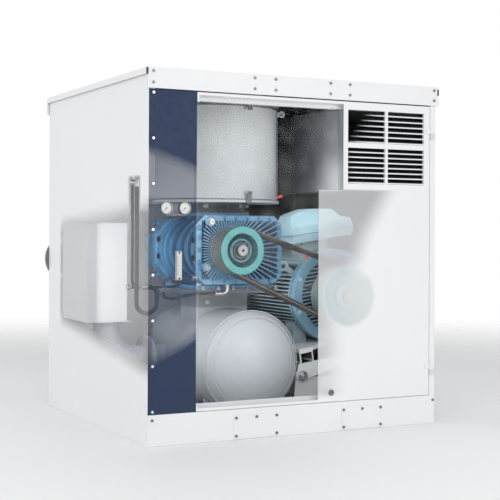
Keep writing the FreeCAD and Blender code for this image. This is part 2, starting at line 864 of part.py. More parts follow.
def make_drive_cover():
    back = plate_front
    face = back - cover_plate
    nose = face - cover_hub_length
    plate = chamfered(cover_half_width, cover_half_height, cover_corner, face, back)
    hub = turned_y([(nose, 0), (nose, cover_hub_nose), (nose + 10, cover_hub_nose + 8),
                    (face, cover_hub_radius), (back, cover_hub_radius), (back, 0)], drive_x, blower_z)
    # cooling fins stand out like rays from the pulley, inside the bolting rim
    inside_rim = chamfered(cover_half_width - fin_margin, cover_half_height - fin_margin,
                           cover_corner - 8, face - fin_height, back)
    fins = []
    for k in range(fin_count):
        angle = 360.0 * (k + 0.5) / fin_count
        fin = box(drive_x + cover_hub_nose, drive_x + 2 * cover_half_width, face - fin_height, face,
                  blower_z - fin_thickness / 2, blower_z + fin_thickness / 2)
        fin.rotate(V(drive_x, 0, blower_z), V(0, 1, 0), angle)
        fins.append(fin)
    ribs = Part.makeCompound(fins).common(inside_rim)
    bosses = [rod_y(plug_boss_radius, face - fin_height - 2, face, drive_x + dx, blower_z + dz)
              for dx, dz in cover_plugs]
    cover = joined([plate, hub] + ribs.Solids + bosses)
    pockets = [rod_y(shaft_radius + 1, nose - 1, back + 1, drive_x, blower_z),
               rod_y(bearing_radius, back - 12, back + 1, idler_x, blower_z)]
    save("drive_cover", without(cover, pockets))


def make_gear_cover():
    y0 = plate_back
    y1 = plate_back + gear_cover_depth
    outer = chamfered(gear_cover_half_width, gear_cover_half_height, 70, y0, y1 - 18)
    cap = chamfered(gear_cover_half_width - 40, gear_cover_half_height - 40, 50, y1 - 18, y1)
    room = joined([rod_y(100, y0 - 1, y1 - 20, drive_x, blower_z),
                   rod_y(100, y0 - 1, y1 - 20, idler_x, blower_z)])
    save("gear_cover", joined([outer, cap]).cut(room))


def make_rotors():
    gear_y = plate_back + 12
    shaft_end = gear_y + gear_width + 14
    cases = (("drive_rotor", drive_x, pulley_front - 2.0), ("idler_rotor", idler_x, plate_front - 6))
    for name, x, front in cases:
        lobed = rotor_body(x, blower_z)
        shaft = turned_y([(front, 0), (front, shaft_radius - 2), (front + 2, shaft_radius),
                          (gear_y, shaft_radius), (gear_y, shaft_radius - 4),
                          (shaft_end, shaft_radius - 4), (shaft_end, 0)], x, blower_z)
        save(name, joined([lobed, shaft]))
    half_tooth = math.pi / gear_teeth
    for name, x, phase in (("drive_gear", drive_x, 0.0), ("idler_gear", idler_x, half_tooth)):
        wheel = gear(x, blower_z, gear_y, gear_y + gear_width, phase)
        bore = rod_y(shaft_radius - 4 + running, gear_y - 1, gear_y + gear_width + 1, x, blower_z)
        nut = turned_y([(gear_y + gear_width, shaft_radius - 4 + running),
                        (gear_y + gear_width, 34), (gear_y + gear_width + 10, 34),
                        (gear_y + gear_width + 10, shaft_radius - 4 + running)], x, blower_z)
        save(name, wheel.cut(bore), nut)


def pulley(x, z, diameter, bore, web_bore):
    # grooved rim, thin web and hub, turned about the shaft
    outer = diameter / 2 + belt_proud
    rim_inner = outer - pulley_rim
    profile = [(pulley_front, rim_inner), (pulley_front, outer - 1), (pulley_front + 1, outer)]
    lean = math.tan(math.radians(19))
    for k in range(belt_count):
        y = pulley_front + belt_edge + belt_pitch * k
        top = belt_top_width / 2 + belt_gap
        low = top - groove_depth * lean
        profile += [(y - top, outer), (y - low, outer - groove_depth),
                    (y + low, outer - groove_depth), (y + top, outer)]
    web_front = pulley_front + pulley_recess
    profile += [(pulley_back, outer), (pulley_back, rim_inner), (pulley_back - 8, rim_inner - 3),
                (pulley_back - 22, rim_inner - 4), (pulley_back - 24, web_bore + 12),
                (pulley_back - 12, web_bore + 10), (pulley_back - 12, bore),
                (pulley_front + 14, bore), (pulley_front + 14, web_bore + 8),
                (pulley_front + 18, web_bore + 12), (web_front - 10, web_bore + 14),
                (web_front - 4, rim_inner - 8), (pulley_front + 8, rim_inner - 1)]
    return turned_y(profile, x, z)


def belt(k):
    # one V-belt: trapezoid swept along two arcs and two tangents
    dx = motor_x - drive_x
    dz = motor_z - blower_z
    span = math.hypot(dx, dz)
    line = math.atan2(dz, dx)
    ra = blower_pulley_diameter / 2
    rb = motor_pulley_diameter / 2
    lean = math.asin((rb - ra) / span)
    y = pulley_front + belt_edge + belt_pitch * k
    up = line + math.pi / 2 + lean
    down = line - math.pi / 2 - lean

    def at(cx, cz, r, angle):
        return V(cx + r * math.cos(angle), y, cz + r * math.sin(angle))

    a_up = at(drive_x, blower_z, ra, up)
    a_down = at(drive_x, blower_z, ra, down)
    a_far = at(drive_x, blower_z, ra, line + math.pi)
    b_up = at(motor_x, motor_z, rb, up)
    b_down = at(motor_x, motor_z, rb, down)
    b_far = at(motor_x, motor_z, rb, line)
    path = Part.Wire([Part.LineSegment(a_up, b_up).toShape(),
                      Part.Arc(b_up, b_far, b_down).toShape(),
                      Part.LineSegment(b_down, a_down).toShape(),
                      Part.Arc(a_down, a_far, a_up).toShape()])
    out = V(math.cos(up), 0, math.sin(up))
    top = belt_proud - 0.5
    low = top - belt_height
    half_top = belt_top_width / 2 - 0.1
    half_low = half_top - belt_height * math.tan(math.radians(20))
    corners = [a_up + out * top + V(0, -half_top, 0), a_up + out * top + V(0, half_top, 0),
               a_up + out * low + V(0, half_low, 0), a_up + out * low + V(0, -half_low, 0)]
    section = Part.makePolygon(corners + [corners[0]])
    return path.makePipeShell([section], True, False)


def make_belt_drive():
    save("blower_pulley", pulley(drive_x, blower_z, blower_pulley_diameter,
                                 bush_radius + running, bush_radius))
    bush_front = pulley_front + 12
    bush = turned_y([(bush_front, shaft_radius + running), (bush_front, bush_radius - 4),
                     (bush_front + 4, bush_radius), (bush_front + bush_length, bush_radius),
                     (bush_front + bush_length, shaft_radius + running)], drive_x, blower_z)
    # half-round pockets for the screws that draw the bush into the hub
    pockets = []
    for k in range(bush_screws):
        pocket = rod_y(bush_screw_radius, bush_front - 1, bush_front + 24, drive_x + bush_radius - 2,
                       blower_z)
        pocket.rotate(V(drive_x, 0, blower_z), V(0, 1, 0), 360.0 * k / bush_screws - 40)
        pockets.append(pocket)
    save("blower_bush", without(bush, pockets))
    save("motor_pulley", pulley(motor_x, motor_z, motor_pulley_diameter,
                                motor_shaft_radius + running, bush_radius))
    belts = [belt(k) for k in range(belt_count)]
    save("drive_belts", *belts)


def fin_outline(turns):
    # outline of the finned motor body, fins parallel within each quarter
    points = []
    half = motor_fin_thickness / 2
    for quarter in range(turns):
        angle = math.pi / 2 * quarter
        c = math.cos(angle)
        s = math.sin(angle)
        for k in range(-motor_fin_side, motor_fin_side + 1):
            w = k * motor_fin_pitch
            inner = motor_body_radius
            for offset, radius in ((-half, inner), (-half, motor_fin_radius),
                                   (half, motor_fin_radius), (half, inner)):
                v = w + offset
                u = math.sqrt(radius * radius - v * v)
                points.append((motor_x + u * c - v * s, motor_z + u * s + v * c))
    return points


def make_motor():
    body = prism_y(fin_outline(4), motor_front, motor_back)
    feet = []
    foot_half = foot_spacing / 2
    for side in (-1, 1):
        for y in (motor_front + 25, motor_back - 25 - foot_length):
            x = motor_x + side * foot_half
            outline = [(x - foot_width / 2, foot_plane), (x + foot_width / 2, foot_plane),
                       (x + foot_width / 2, foot_plane + 18), (x - side * 4 + 18, foot_plane + 105),
                       (x - side * 4 - 18, foot_plane + 105), (x - foot_width / 2, foot_plane + 18)]
            feet.append(prism_y(outline, y, y + foot_length))
    neck = box(motor_x - 70, motor_x + 70, terminal_front + 25, terminal_back - 25,
               motor_z + motor_body_radius - 10, terminal_bottom)
    outward = V(math.cos(math.radians(eye_angle)), 0, math.sin(math.radians(eye_angle)))
    axis_point = V(motor_x, motor_front + 30, motor_z)
    eye = Part.makeTorus(18, 6, axis_point + outward * eye_reach, V(0, 1, 0))
    boss = Part.makeCylinder(13, eye_reach - motor_bore - 14, axis_point + outward * motor_bore, outward)
    bore = rod_y(motor_bore, motor_front - 1, motor_back + 1, motor_x, motor_z)
    save("motor_housing", tilted(joined([body, neck, eye, boss] + feet).cut(bore)))

    stator = rod_y(motor_bore - seat, motor_front + 60, motor_back - 60, motor_x, motor_z)
    stator_gap = rod_y(stator_inner, motor_front, motor_back, motor_x, motor_z)
    save("stator_core", tilted(stator.cut(stator_gap)))

    front = motor_front - shield_depth
    disc = turned_y([(motor_front, motor_shaft_radius + 32), (motor_front, motor_fin_radius),
                     (motor_front - 14, motor_fin_radius), (motor_front - 20, 75),
                     (front + 4, 66), (front + 4, motor_shaft_radius + 4),
                     (front + 14, motor_shaft_radius + 4),
                     (front + 14, motor_shaft_radius + 32)], motor_x, motor_z)
    ring = turned_y([(front, shield_ring_bore), (front, shield_ring_radius - 4),
                     (front + 4, shield_ring_radius), (front + 26, shield_ring_radius),
                     (front + 26, shield_ring_bore)], motor_x, motor_z)
    webs = []
    for k in range(8):
        web = box(motor_x + 68, motor_x + shield_ring_radius - 4, front + 8, motor_front - 10,
                  motor_z - 5, motor_z + 5)
        web.rotate(V(motor_x, 0, motor_z), V(0, 1, 0), 45 * k + 22.5)
        webs.append(web)
    front_shield = joined([disc, ring] + webs)
    back = motor_back + rear_shield
    # the rear shield ends in a spigot that the fan cowl slips over
    spigot = motor_fin_radius - cowl_wall - seat
    rear = turned_y([(motor_back, motor_shaft_radius + 32), (motor_back, motor_fin_radius),
                     (back - cowl_lap, motor_fin_radius), (back - cowl_lap, spigot), (back, spigot),
                     (back, spigot - 8), (back - 14, 120), (back, 70), (back, motor_shaft_radius + 4),
                     (back - 8, motor_shaft_radius + 4), (back - 8, motor_shaft_radius + 32)],
                    motor_x, motor_z)
    rings = []
    for y0, y1 in ((front + 14 + running, motor_front), (motor_back, back - 8 - running)):
        ring = turned_y([(y0, motor_shaft_radius + running), (y0, motor_shaft_radius + 32 - seat),
                         (y1, motor_shaft_radius + 32 - seat), (y1, motor_shaft_radius + running)],
                        motor_x, motor_z)
        rings.append(ring)
    save("motor_shields", *[tilted(solid) for solid in [front_shield, rear] + rings])

    cowl_end = back + cowl_length
    cowl_inner = motor_fin_radius - cowl_wall
    cowl = turned_y([(back - cowl_lap, cowl_inner), (back - cowl_lap, motor_fin_radius),
                     (cowl_end - 12, motor_fin_radius), (cowl_end, motor_fin_radius - 14),
                     (cowl_end, 0), (cowl_end - cowl_wall, 0), (cowl_end - cowl_wall, cowl_inner - 14),
                     (cowl_end - 14, cowl_inner)], motor_x, motor_z)
    slots = []
    for k in range(12):
        slot = box(motor_x + 55, motor_x + 165, cowl_end - 6, cowl_end + 1, motor_z - 7, motor_z + 7)
        slot.rotate(V(motor_x, 0, motor_z), V(0, 1, 0), 30 * k)
        slots.append(slot)
    save("fan_cowl", tilted(without(cowl, slots)))

    fan_front = back + 20
    core_front = motor_front + 60
    core_back = motor_back - 60
    shaft = turned_y([(pulley_front - 2, 0), (pulley_front - 2, motor_shaft_radius - 3),
                      (pulley_front + 1, motor_shaft_radius), (fan_front - 4, motor_shaft_radius),
                      (fan_front - 4, motor_shaft_radius - 6), (fan_front + 40, motor_shaft_radius - 6),
                      (fan_front + 40, 0)], motor_x, motor_z)
    core = rod_y(stator_inner - air_gap, core_front, core_back, motor_x, motor_z)
    save("motor_rotor", joined([shaft, core]))
    fan_back = fan_front + fan_length
    hub = rod_y(fan_hub_radius, fan_front, fan_back - 8, motor_x, motor_z)
    blades = []
    for k in range(fan_blades):
        blade = box(motor_x + fan_hub_radius - 6, motor_x + fan_radius, fan_front, fan_back,
                    motor_z - fan_sheet / 2, motor_z + fan_sheet / 2)
        blade.rotate(V(motor_x, 0, motor_z), V(0, 1, 0), 360.0 * k / fan_blades)
        blades.append(blade)
    fan = joined([hub] + blades)
    fan_bore = rod_y(motor_shaft_radius - 6 + running, fan_front - 1, fan_back + 1, motor_x, motor_z)
    save("motor_fan", fan.cut(fan_bore))
    make_terminal_box()


def make_terminal_box():
    x0 = motor_x - terminal_left_reach
    x1 = motor_x + terminal_right_reach
    low = terminal_bottom
    split = low + terminal_split
    fold = low + terminal_fold
    high = low + terminal_height
    outline = [(x0 + 8, low), (x1 - 8, low), (x1 - 5, split - 5), (x1, split - 5), (x1, split + 5),
               (x1 - 11, fold + 9), (x1 - 59, fold + 21), (x1 - 91, high - 16), (x0 + 120, high),
               (x0 + 45, high - 13), (x0 + 22, high - 21), (x0 + 3, fold + 16), (x0 + 3, fold),
               (x0, split + 5), (x0, split - 5), (x0 + 5, split - 5)]
    y0 = terminal_front
    y1 = terminal_back
    side = [(y0 + 6, low), (y1 - 6, low), (y1, split - 5), (y1, fold), (y1 - 30, high),
            (y0 + 30, high), (y0, fold), (y0, split - 5)]
    shape = prism_y(outline, y0, y1).common(prism_x(side, x0, x1))
    glands = [rod_x(14, x1 - 20, x1 + 18, y, low + terminal_split / 2) for y in (y0 + 45, y1 - 45)]
    save("terminal_box", tilted(joined([shape] + glands)))


def make_motor_base():
    right = jack_x + 12
    rail_left = arm_pivot_x + 4
    rail_right = motor_x + foot_spacing / 2 + foot_width / 2 + 6
    pieces = []
    # two plates carry the feet; each lies on an inverted channel that runs front to back
    for near, far, outer in ((rail_left, rail_left + channel_width, motor_x - slot_half),
                             (right - channel_width, right, motor_x + slot_half)):
        edge = near if outer > far else rail_right
        tip = far if outer > far else near
        plan = [(edge, arm_front), (tip, arm_front), (outer, arm_front + plate_corner),
                (outer, arm_back), (edge, arm_back)]
        pieces.append(prism_z(plan, plate_low, foot_plane))
        channel = box(near, far, arm_front, arm_back, bar_top, plate_low)
        inside = box(near + channel_wall, far - channel_wall, arm_front - 1, arm_back + 1,
                     bar_top - 1, plate_low - channel_wall)
        pieces.append(channel.cut(inside))
    arm = [(arm_pivot_x - 8, bar_top), (right, bar_top), (right, bar_top - bar_depth),
           (arm_pivot_x + 79, arm_pivot_z - 13), (arm_pivot_x + 20, arm_pivot_z - 22),
           (arm_pivot_x - 22, arm_pivot_z)]
    for y in (arm_front, arm_back_inner):
        pieces.append(prism_y(arm, y, y + arm_thickness))
        pieces.append(rod_y(pivot_boss, y, y + arm_thickness, arm_pivot_x, arm_pivot_z))
    pivot_hole = rod_y(pivot_radius + running, arm_front - 1, arm_back + 1, arm_pivot_x, arm_pivot_z)
    can_top = bar_top + can_length
    lug_low = bar_top - base_plate
    pieces.append(box(jack_x - 34, jack_x + 34, jack_y - 34, arm_front, lug_low, bar_top))
    pieces.append(rod_z(can_radius, bar_top, can_top, jack_x, jack_y))
    pieces.append(rod_z(can_radius + 5, can_top - 6, can_top, jack_x, jack_y))
    room = rod_z(can_radius - can_wall, bar_top, can_top - 6, jack_x, jack_y)
    rod_hole = rod_z(jack_rod + jack_clearance, lug_low - 1, can_top + 1, jack_x, jack_y)
    save("swing_base", tilted(without(joined(pieces), [pivot_hole, room, rod_hole])))

    foot = member_top
    edge = half_width - base_flange - 3
    fixed = [(pivot_x - 34, foot), (pivot_x - 22, pivot_z), (pivot_x + 22, pivot_z - 4),
             (pivot_x + 80, pivot_z - 8), (pivot_x + 240, pivot_z - 18), (ball_x - 30, pivot_z - 47),
             (ball_x + 22, pivot_z - 47), (ball_x + 22, shelf_low), (edge, shelf_low), (edge, foot)]
    inner_front = arm_front_inner + arm_gap
    inner_back = arm_back_inner - arm_gap
    sides = []
    for y in (inner_front, inner_back - arm_thickness):
        sides.append(joined([prism_y(fixed, y, y + arm_thickness),
                             rod_y(pivot_boss, y, y + arm_thickness, pivot_x, pivot_z)]))
    pins = []
    for outer, way in ((arm_front, -1), (arm_back, 1)):
        end = outer - way * (arm_thickness + arm_gap + arm_thickness + 8)
        pins.append(turned_y([(outer + way * 9, 0), (outer + way * 9, 19), (outer + way, 19),
                              (outer + way, pivot_radius), (end, pivot_radius), (end, 0)],
                             pivot_x, pivot_z))
    cup_radius = ball_radius + 4
    shelf = box(ball_x - 36, ball_x + cup_radius, jack_y - 40, inner_front, shelf_low, shelf_top)
    cup = rod_z(cup_radius, shelf_low, ball_z - 6, ball_x, jack_y)
    seat_ball = Part.makeSphere(ball_radius + ball_seat, V(ball_x, jack_y, ball_z))
    save("hinge_brackets", joined([sides[0], pins[0], shelf, cup]).cut(seat_ball),
         joined([sides[1], pins[1]]))

    collar = bar_top + collar_lift
    low = motor_z - ball_drop
    end = can_top + 84
    ball = Part.makeSphere(ball_radius, V(jack_x, jack_y, low))
    rod = turned_z([(0, low), (14, low), (14, low + ball_radius + 12),
                    (jack_rod, low + ball_radius + 16), (jack_rod, collar), (22, collar),
                    (22, collar + 8), (jack_rod, collar + 8), (jack_rod, end - 4),
                    (jack_rod - 2, end), (0, end)], jack_x, jack_y)
    save("tension_jack", tilted(joined([ball, rod])))

    start = collar + 8 + seat + spring_wire / 2
    end = can_top - 6 - seat - spring_wire / 2
    radius = (jack_rod + can_radius - can_wall) / 2
    helix = Part.makeHelix((end - start) / spring_turns, end - start, radius)
    helix.translate(V(jack_x, jack_y, start))
    reach = spring_wire / 2
    corners = []
    for k in range(6):
        a = math.radians(60 * k)
        corners.append(V(jack_x + radius + reach * math.cos(a), jack_y, start + reach * math.sin(a)))
    section = Part.makePolygon(corners + [corners[0]])
    save("tension_spring", tilted(Part.Wire(helix.Edges).makePipeShell([section], True, True)))


def dome(y, depth, radius):
    # half an ellipsoid of revolution about the tank axis, as a profile from the seam to the axis
    steps = 8
    points = []
    for k in range(steps + 1):
        a = math.pi / 2 * k / steps
        points.append((y + depth * math.sin(a), radius * math.cos(a)))
    return points


def make_tank():
    outer = dome(tank_front, -dome_depth, tank_radius)[::-1] + dome(tank_back, dome_depth, tank_radius)
    inner_r = tank_radius - tank_wall
    inner = (dome(tank_front, -dome_depth + tank_wall, inner_r)[::-1]
             + dome(tank_back, dome_depth - tank_wall, inner_r))
    shell_outer = turned_vessel(outer)
    shell_inner = turned_vessel(inner)
    deck_top = blower_z - foot_drop - foot_flange
    deck_low = deck_top - deck_thickness
    neck_x0 = blower_x - neck_half_width
    neck_x1 = blower_x + neck_half_width
    neck = box(neck_x0, neck_x1, neck_front, neck_back, tank_z + 100, deck_low)
    bore = box(neck_x0 + neck_wall, neck_x1 - neck_wall, neck_front + neck_wall,
               neck_back - neck_wall, tank_z + 90, deck_low + 1)
    deck = box(blower_x - cover_half_width + 10, blower_x + cover_half_width - 10,
               -bore_half - 8, bore_half + 8, deck_low, deck_top)
    port = box(blower_x - port_half_width, blower_x + port_half_width, port_front, port_back,
               deck_low - 1, deck_top + 1)
    stub = rod_x(pipe_radius, joint_x + 2, tank_x, outlet_y, outlet_z)
    stub_bore = rod_x(pipe_radius - pipe_wall, joint_x - 1, tank_x, outlet_y, outlet_z)
    flange = rod_x(flange_radius, joint_x, joint_x + flange_thickness, outlet_y, outlet_z)
    bands = [turned_y([(y - 3, tank_radius - 2), (y - 3, tank_radius + 1.5), (y + 3, tank_radius + 1.5),
                       (y + 3, tank_radius - 2)], tank_x, tank_z) for y in (tank_front, tank_back)]
    tank = joined([shell_outer, neck, deck, stub, flange] + bands)
    tank = without(tank, [shell_inner, bore, port, stub_bore])
    save("discharge_tank", tank)

    core = turned_y([(tank_front + 20, core_radius - 2), (tank_front + 20, core_radius),
                     (tank_back - 20, core_radius), (tank_back - 20, core_radius - 2)], tank_x, tank_z)
    discs = []
    for y in (tank_front + 20, tank_back - 26):
        disc = turned_y([(y, core_radius - 4), (y, inner_r - seat), (y + 6, inner_r - seat),
                         (y + 6, core_radius - 4)], tank_x, tank_z)
        notches = []
        for k in range(6):
            notch = rod_y(38, y - 1, y + 7, tank_x + 155, tank_z)
            notch.rotate(V(tank_x, 0, tank_z), V(0, 1, 0), 60 * k + 30)
            notches.append(notch)
        discs.append(without(disc, notches))
    save("silencer_core", joined([core] + discs))

    saddles = []
    for y in (member_ys[1], member_ys[2]):
        plate = box(tank_x - saddle_width / 2, tank_x + saddle_width / 2, y - saddle_thickness / 2,
                    y + saddle_thickness / 2, member_top, member_top + saddle_height)
        gap = rod_y(tank_radius + seat, y - 20, y + 20, tank_x, tank_z)
        saddles.append(plate.cut(gap))
    save("tank_saddles", *[solid for saddle in saddles for solid in saddle.Solids])


def turned_vessel(outline):
    wire = Part.makePolygon([V(tank_x + r, y, tank_z) for y, r in outline + [outline[0]]])
    return Part.Face(wire).revolve(V(tank_x, 0, tank_z), V(0, 1, 0), 360)


def make_outlet():
    start = joint_x - flange_thickness
    corner = riser_x + elbow_radius
    rise = outlet_z + elbow_radius
    pieces = []
    for r in (pipe_radius, pipe_radius - pipe_wall):
        run = rod_x(r, corner, joint_x, outlet_y, outlet_z)
        riser = rod_z(r, rise, box_bottom, riser_x, outlet_y)
        circle = Part.Wire(Part.Circle(V(corner, outlet_y, outlet_z), V(1, 0, 0), r).toShape())
        elbow = Part.Face(circle).revolve(V(corner, outlet_y, rise), V(0, 1, 0), 90)
        pieces.append(joined([run, elbow, riser]))
    flange = rod_x(flange_radius, start, joint_x, outlet_y, outlet_z)
    rim = rod_z(pipe_radius + 18, box_bottom - 10, box_bottom, riser_x, outlet_y)
    beads = [rod_x(pipe_radius + 2, corner - 2, corner + 2, outlet_y, outlet_z)]
    pipe = joined([pieces[0], flange, rim] + beads)
    save("outlet_pipe", pipe.cut(pieces[1]))

    exit_x = (box_right - half_width) / 2
    x0 = -half_width + sheet
    shell = box(x0, box_right, box_front, box_back, box_bottom, box_top)
    room = box(x0 + box_sheet, box_right - box_sheet, box_front + box_sheet, box_back - box_sheet,
               box_bottom + box_sheet, box_top - box_sheet)
    holes = [rod_z(pipe_radius - pipe_wall, box_bottom - 1, box_bottom + 9, riser_x, outlet_y),
             rod_y(pipe_radius - pipe_wall, box_back - 9, box_back + 1, exit_x, exit_z)]
    flanges = [box(x0, box_right + 14, box_front - 14, box_back + 14, box_bottom, box_bottom + box_sheet),
               box(x0, box_right + 6, box_front - 6, box_back + 6, box_top - box_sheet, box_top)]
    save("outlet_box", without(joined([shell] + flanges), [room] + holes))


def make_rear_connections():
    # outlet pipe with its drilled flange, and the collar of the air intake
    exit_x = (box_right - half_width) / 2
    face = fascia_front + bolt_head_height
    tube = rod_y(pipe_radius, box_back, face, exit_x, exit_z)
    ring = rod_y(outlet_flange_radius, half_depth, face, exit_x, exit_z)
    cuts = [rod_y(pipe_radius - pipe_wall, box_back - 1, face + 1, exit_x, exit_z)]
    for k in range(outlet_bolts):
        a = 2 * math.pi * (k + 0.5) / outlet_bolts
        cuts.append(rod_y(outlet_bolt_radius, half_depth - 1, face + 1,
                          exit_x + outlet_pcd / 2 * math.cos(a),
                          exit_z + outlet_pcd / 2 * math.sin(a)))
    outlet = without(joined([tube, ring]), cuts)

    inside = canister_y + canister_radius - 16
    outside = half_depth + base_sheet
    duct = joined([rod_y(intake_radius, inside, outside, canister_x, intake_level),
                   rod_y(intake_radius + intake_flange, half_depth, outside, canister_x, intake_level)])
    bore = rod_y(intake_radius - canister_sheet, inside - 1, outside + 1, canister_x, intake_level)
    save("rear_connections", outlet, duct.cut(bore))


def make_inlet():
    x = canister_x
    y = canister_y
    r = canister_radius
    low = canister_bottom
    lid_low = canister_top - lid_height
    hole = box(blower_x - port_half_width, blower_x + port_half_width, port_front, port_back,
               low - 99, low + 9)
    body = turned_z([(0, low), (r + rim, low), (r + rim, low + 12), (r, low + 14), (r, lid_low - 10),
                     (r + rim, lid_low - 8), (r + rim, lid_low), (r - 3, lid_low),
                     (r - canister_sheet, lid_low - 10), (r - canister_sheet, low + canister_sheet),
                     (0, low + canister_sheet)], x, y)
    port = rod_y(intake_radius + seat, y, half_depth, x, intake_level)
    face = y - r - rim
    ears = []
    pins = []
    for z in (low + clip_pivot, lid_low - clip_pivot):
        for side in (-1, 1):
            ear_x = clip_x + side * (clip_width / 2 + 3)
            ears.append(box(ear_x - 2, ear_x + 2, face - 11, y - r + 8, z - 6, z + 6))
        pins.append(rod_x(2.5, clip_x - clip_width / 2 - 4, clip_x + clip_width / 2 + 4, face - 6, z))
    inner = rod_z(r - canister_sheet, low + canister_sheet, lid_low, x, y)
    ears = [ear.cut(inner) for ear in ears]
    body = joined([body] + ears + pins)
    save("intake_canister", without(body, [hole, port]))

    lid = turned_z([(r - 1, lid_low), (r + rim, lid_low), (r + rim, lid_low + 8), (r + 1, lid_low + 8),
                    (r + 1, canister_top - 8), (r - 6, canister_top), (r - 40, canister_top),
                    (r - 46, canister_top - 6), (0, canister_top - 6), (0, canister_top - 8),
                    (r - 47, canister_top - 8), (r - 41, canister_top - 2),
                    (r - 7, canister_top - 2), (r - 1, canister_top - 9)], x, y)
    save("canister_lid", lid)

    # each clip hooks over a rim and turns on a pin between two ears
    for name, z, way, rim_face in (("lid_clip", lid_low - clip_pivot, 1, lid_low + 8),
                                   ("base_clip", low + clip_pivot, -1, low)):
        ends = sorted((z, rim_face + way * 4))
        strap = box(clip_x - clip_width / 2, clip_x + clip_width / 2, face - 6, face - 1, ends[0], ends[1])
        hook_z = sorted((rim_face + way * 0.5, rim_face + way * 4))
        hook = box(clip_x - clip_width / 2, clip_x + clip_width / 2, face - 6, face + 5,
                   hook_z[0], hook_z[1])
        knuckle = rod_x(4.5, clip_x - clip_width / 2, clip_x + clip_width / 2, face - 6, z)
        lever_z = sorted((z + way * 8, z + way * 26))
        lever = box(clip_x - 8, clip_x + 8, face - 10, face - 6, lever_z[0], lever_z[1])
        eye = rod_x(2.5 + running, clip_x - clip_width, clip_x + clip_width, face - 6, z)
        save(name, joined([strap, hook, knuckle, lever]).cut(eye))

    pleat_points = []
    for k in range(2 * pleats):
        radius = cartridge_radius if k % 2 == 0 else cartridge_radius - 28
        a = math.pi * k / pleats
        pleat_points.append((x + radius * math.cos(a), y + radius * math.sin(a)))
    start = low + canister_sheet
    end = start + cartridge_length
    media = prism_z(pleat_points, start + 8, end - 8)
    ends = [rod_z(cartridge_radius + 6, z0, z0 + 8, x, y) for z0 in (start, end - 8)]
    bore = rod_z(cartridge_bore, start - 1, end - 8, x, y)
    save("filter_cartridge", joined([media] + ends).cut(bore))

    top = blower_z + rib_radius + top_flange
    wide = port_half_width + 34
    neck = box(blower_x - wide, blower_x + wide, port_front - 25, port_back + 25, top, low)
    lips = [box(blower_x - wide - 16, blower_x + wide + 16, port_front - 40, port_back + 40, z0, z0 + 10)
            for z0 in (top, low - 10)]
    passage = box(blower_x - port_half_width, blower_x + port_half_width, port_front, port_back,
                  top - 1, low + 1)
    save("inlet_manifold", joined([neck] + lips).cut(passage))


def bent_tube(points, radii, radius):
    # tube along straight runs joined by tangent arcs
    edges = []
    start = points[0]
    for k in range(1, len(points) - 1):
        corner = points[k]
        before = (points[k - 1] - corner).normalize()
        after = (points[k + 1] - corner).normalize()
        half = before.getAngle(after) / 2
        reach = radii[k - 1] / math.tan(half)
        a = corner + before * reach
        b = corner + after * reach
        middle_way = (before + after).normalize()
        centre = corner + middle_way * (radii[k - 1] / math.sin(half))
        middle = centre - middle_way * radii[k - 1]
        edges.append(Part.LineSegment(start, a).toShape())
        edges.append(Part.Arc(a, middle, b).toShape())
        start = b
    edges.append(Part.LineSegment(start, points[-1]).toShape())
    path = Part.Wire(edges)
    first = (points[1] - points[0]).normalize()
    circle = Part.Wire(Part.Circle(points[0], first, radius).toShape())
    tube = path.makePipeShell([circle], True, False)
    area = math.pi * radius * radius
    print("tube", round(path.Length, 1), round(tube.Volume / (area * path.Length), 4))
    return tube


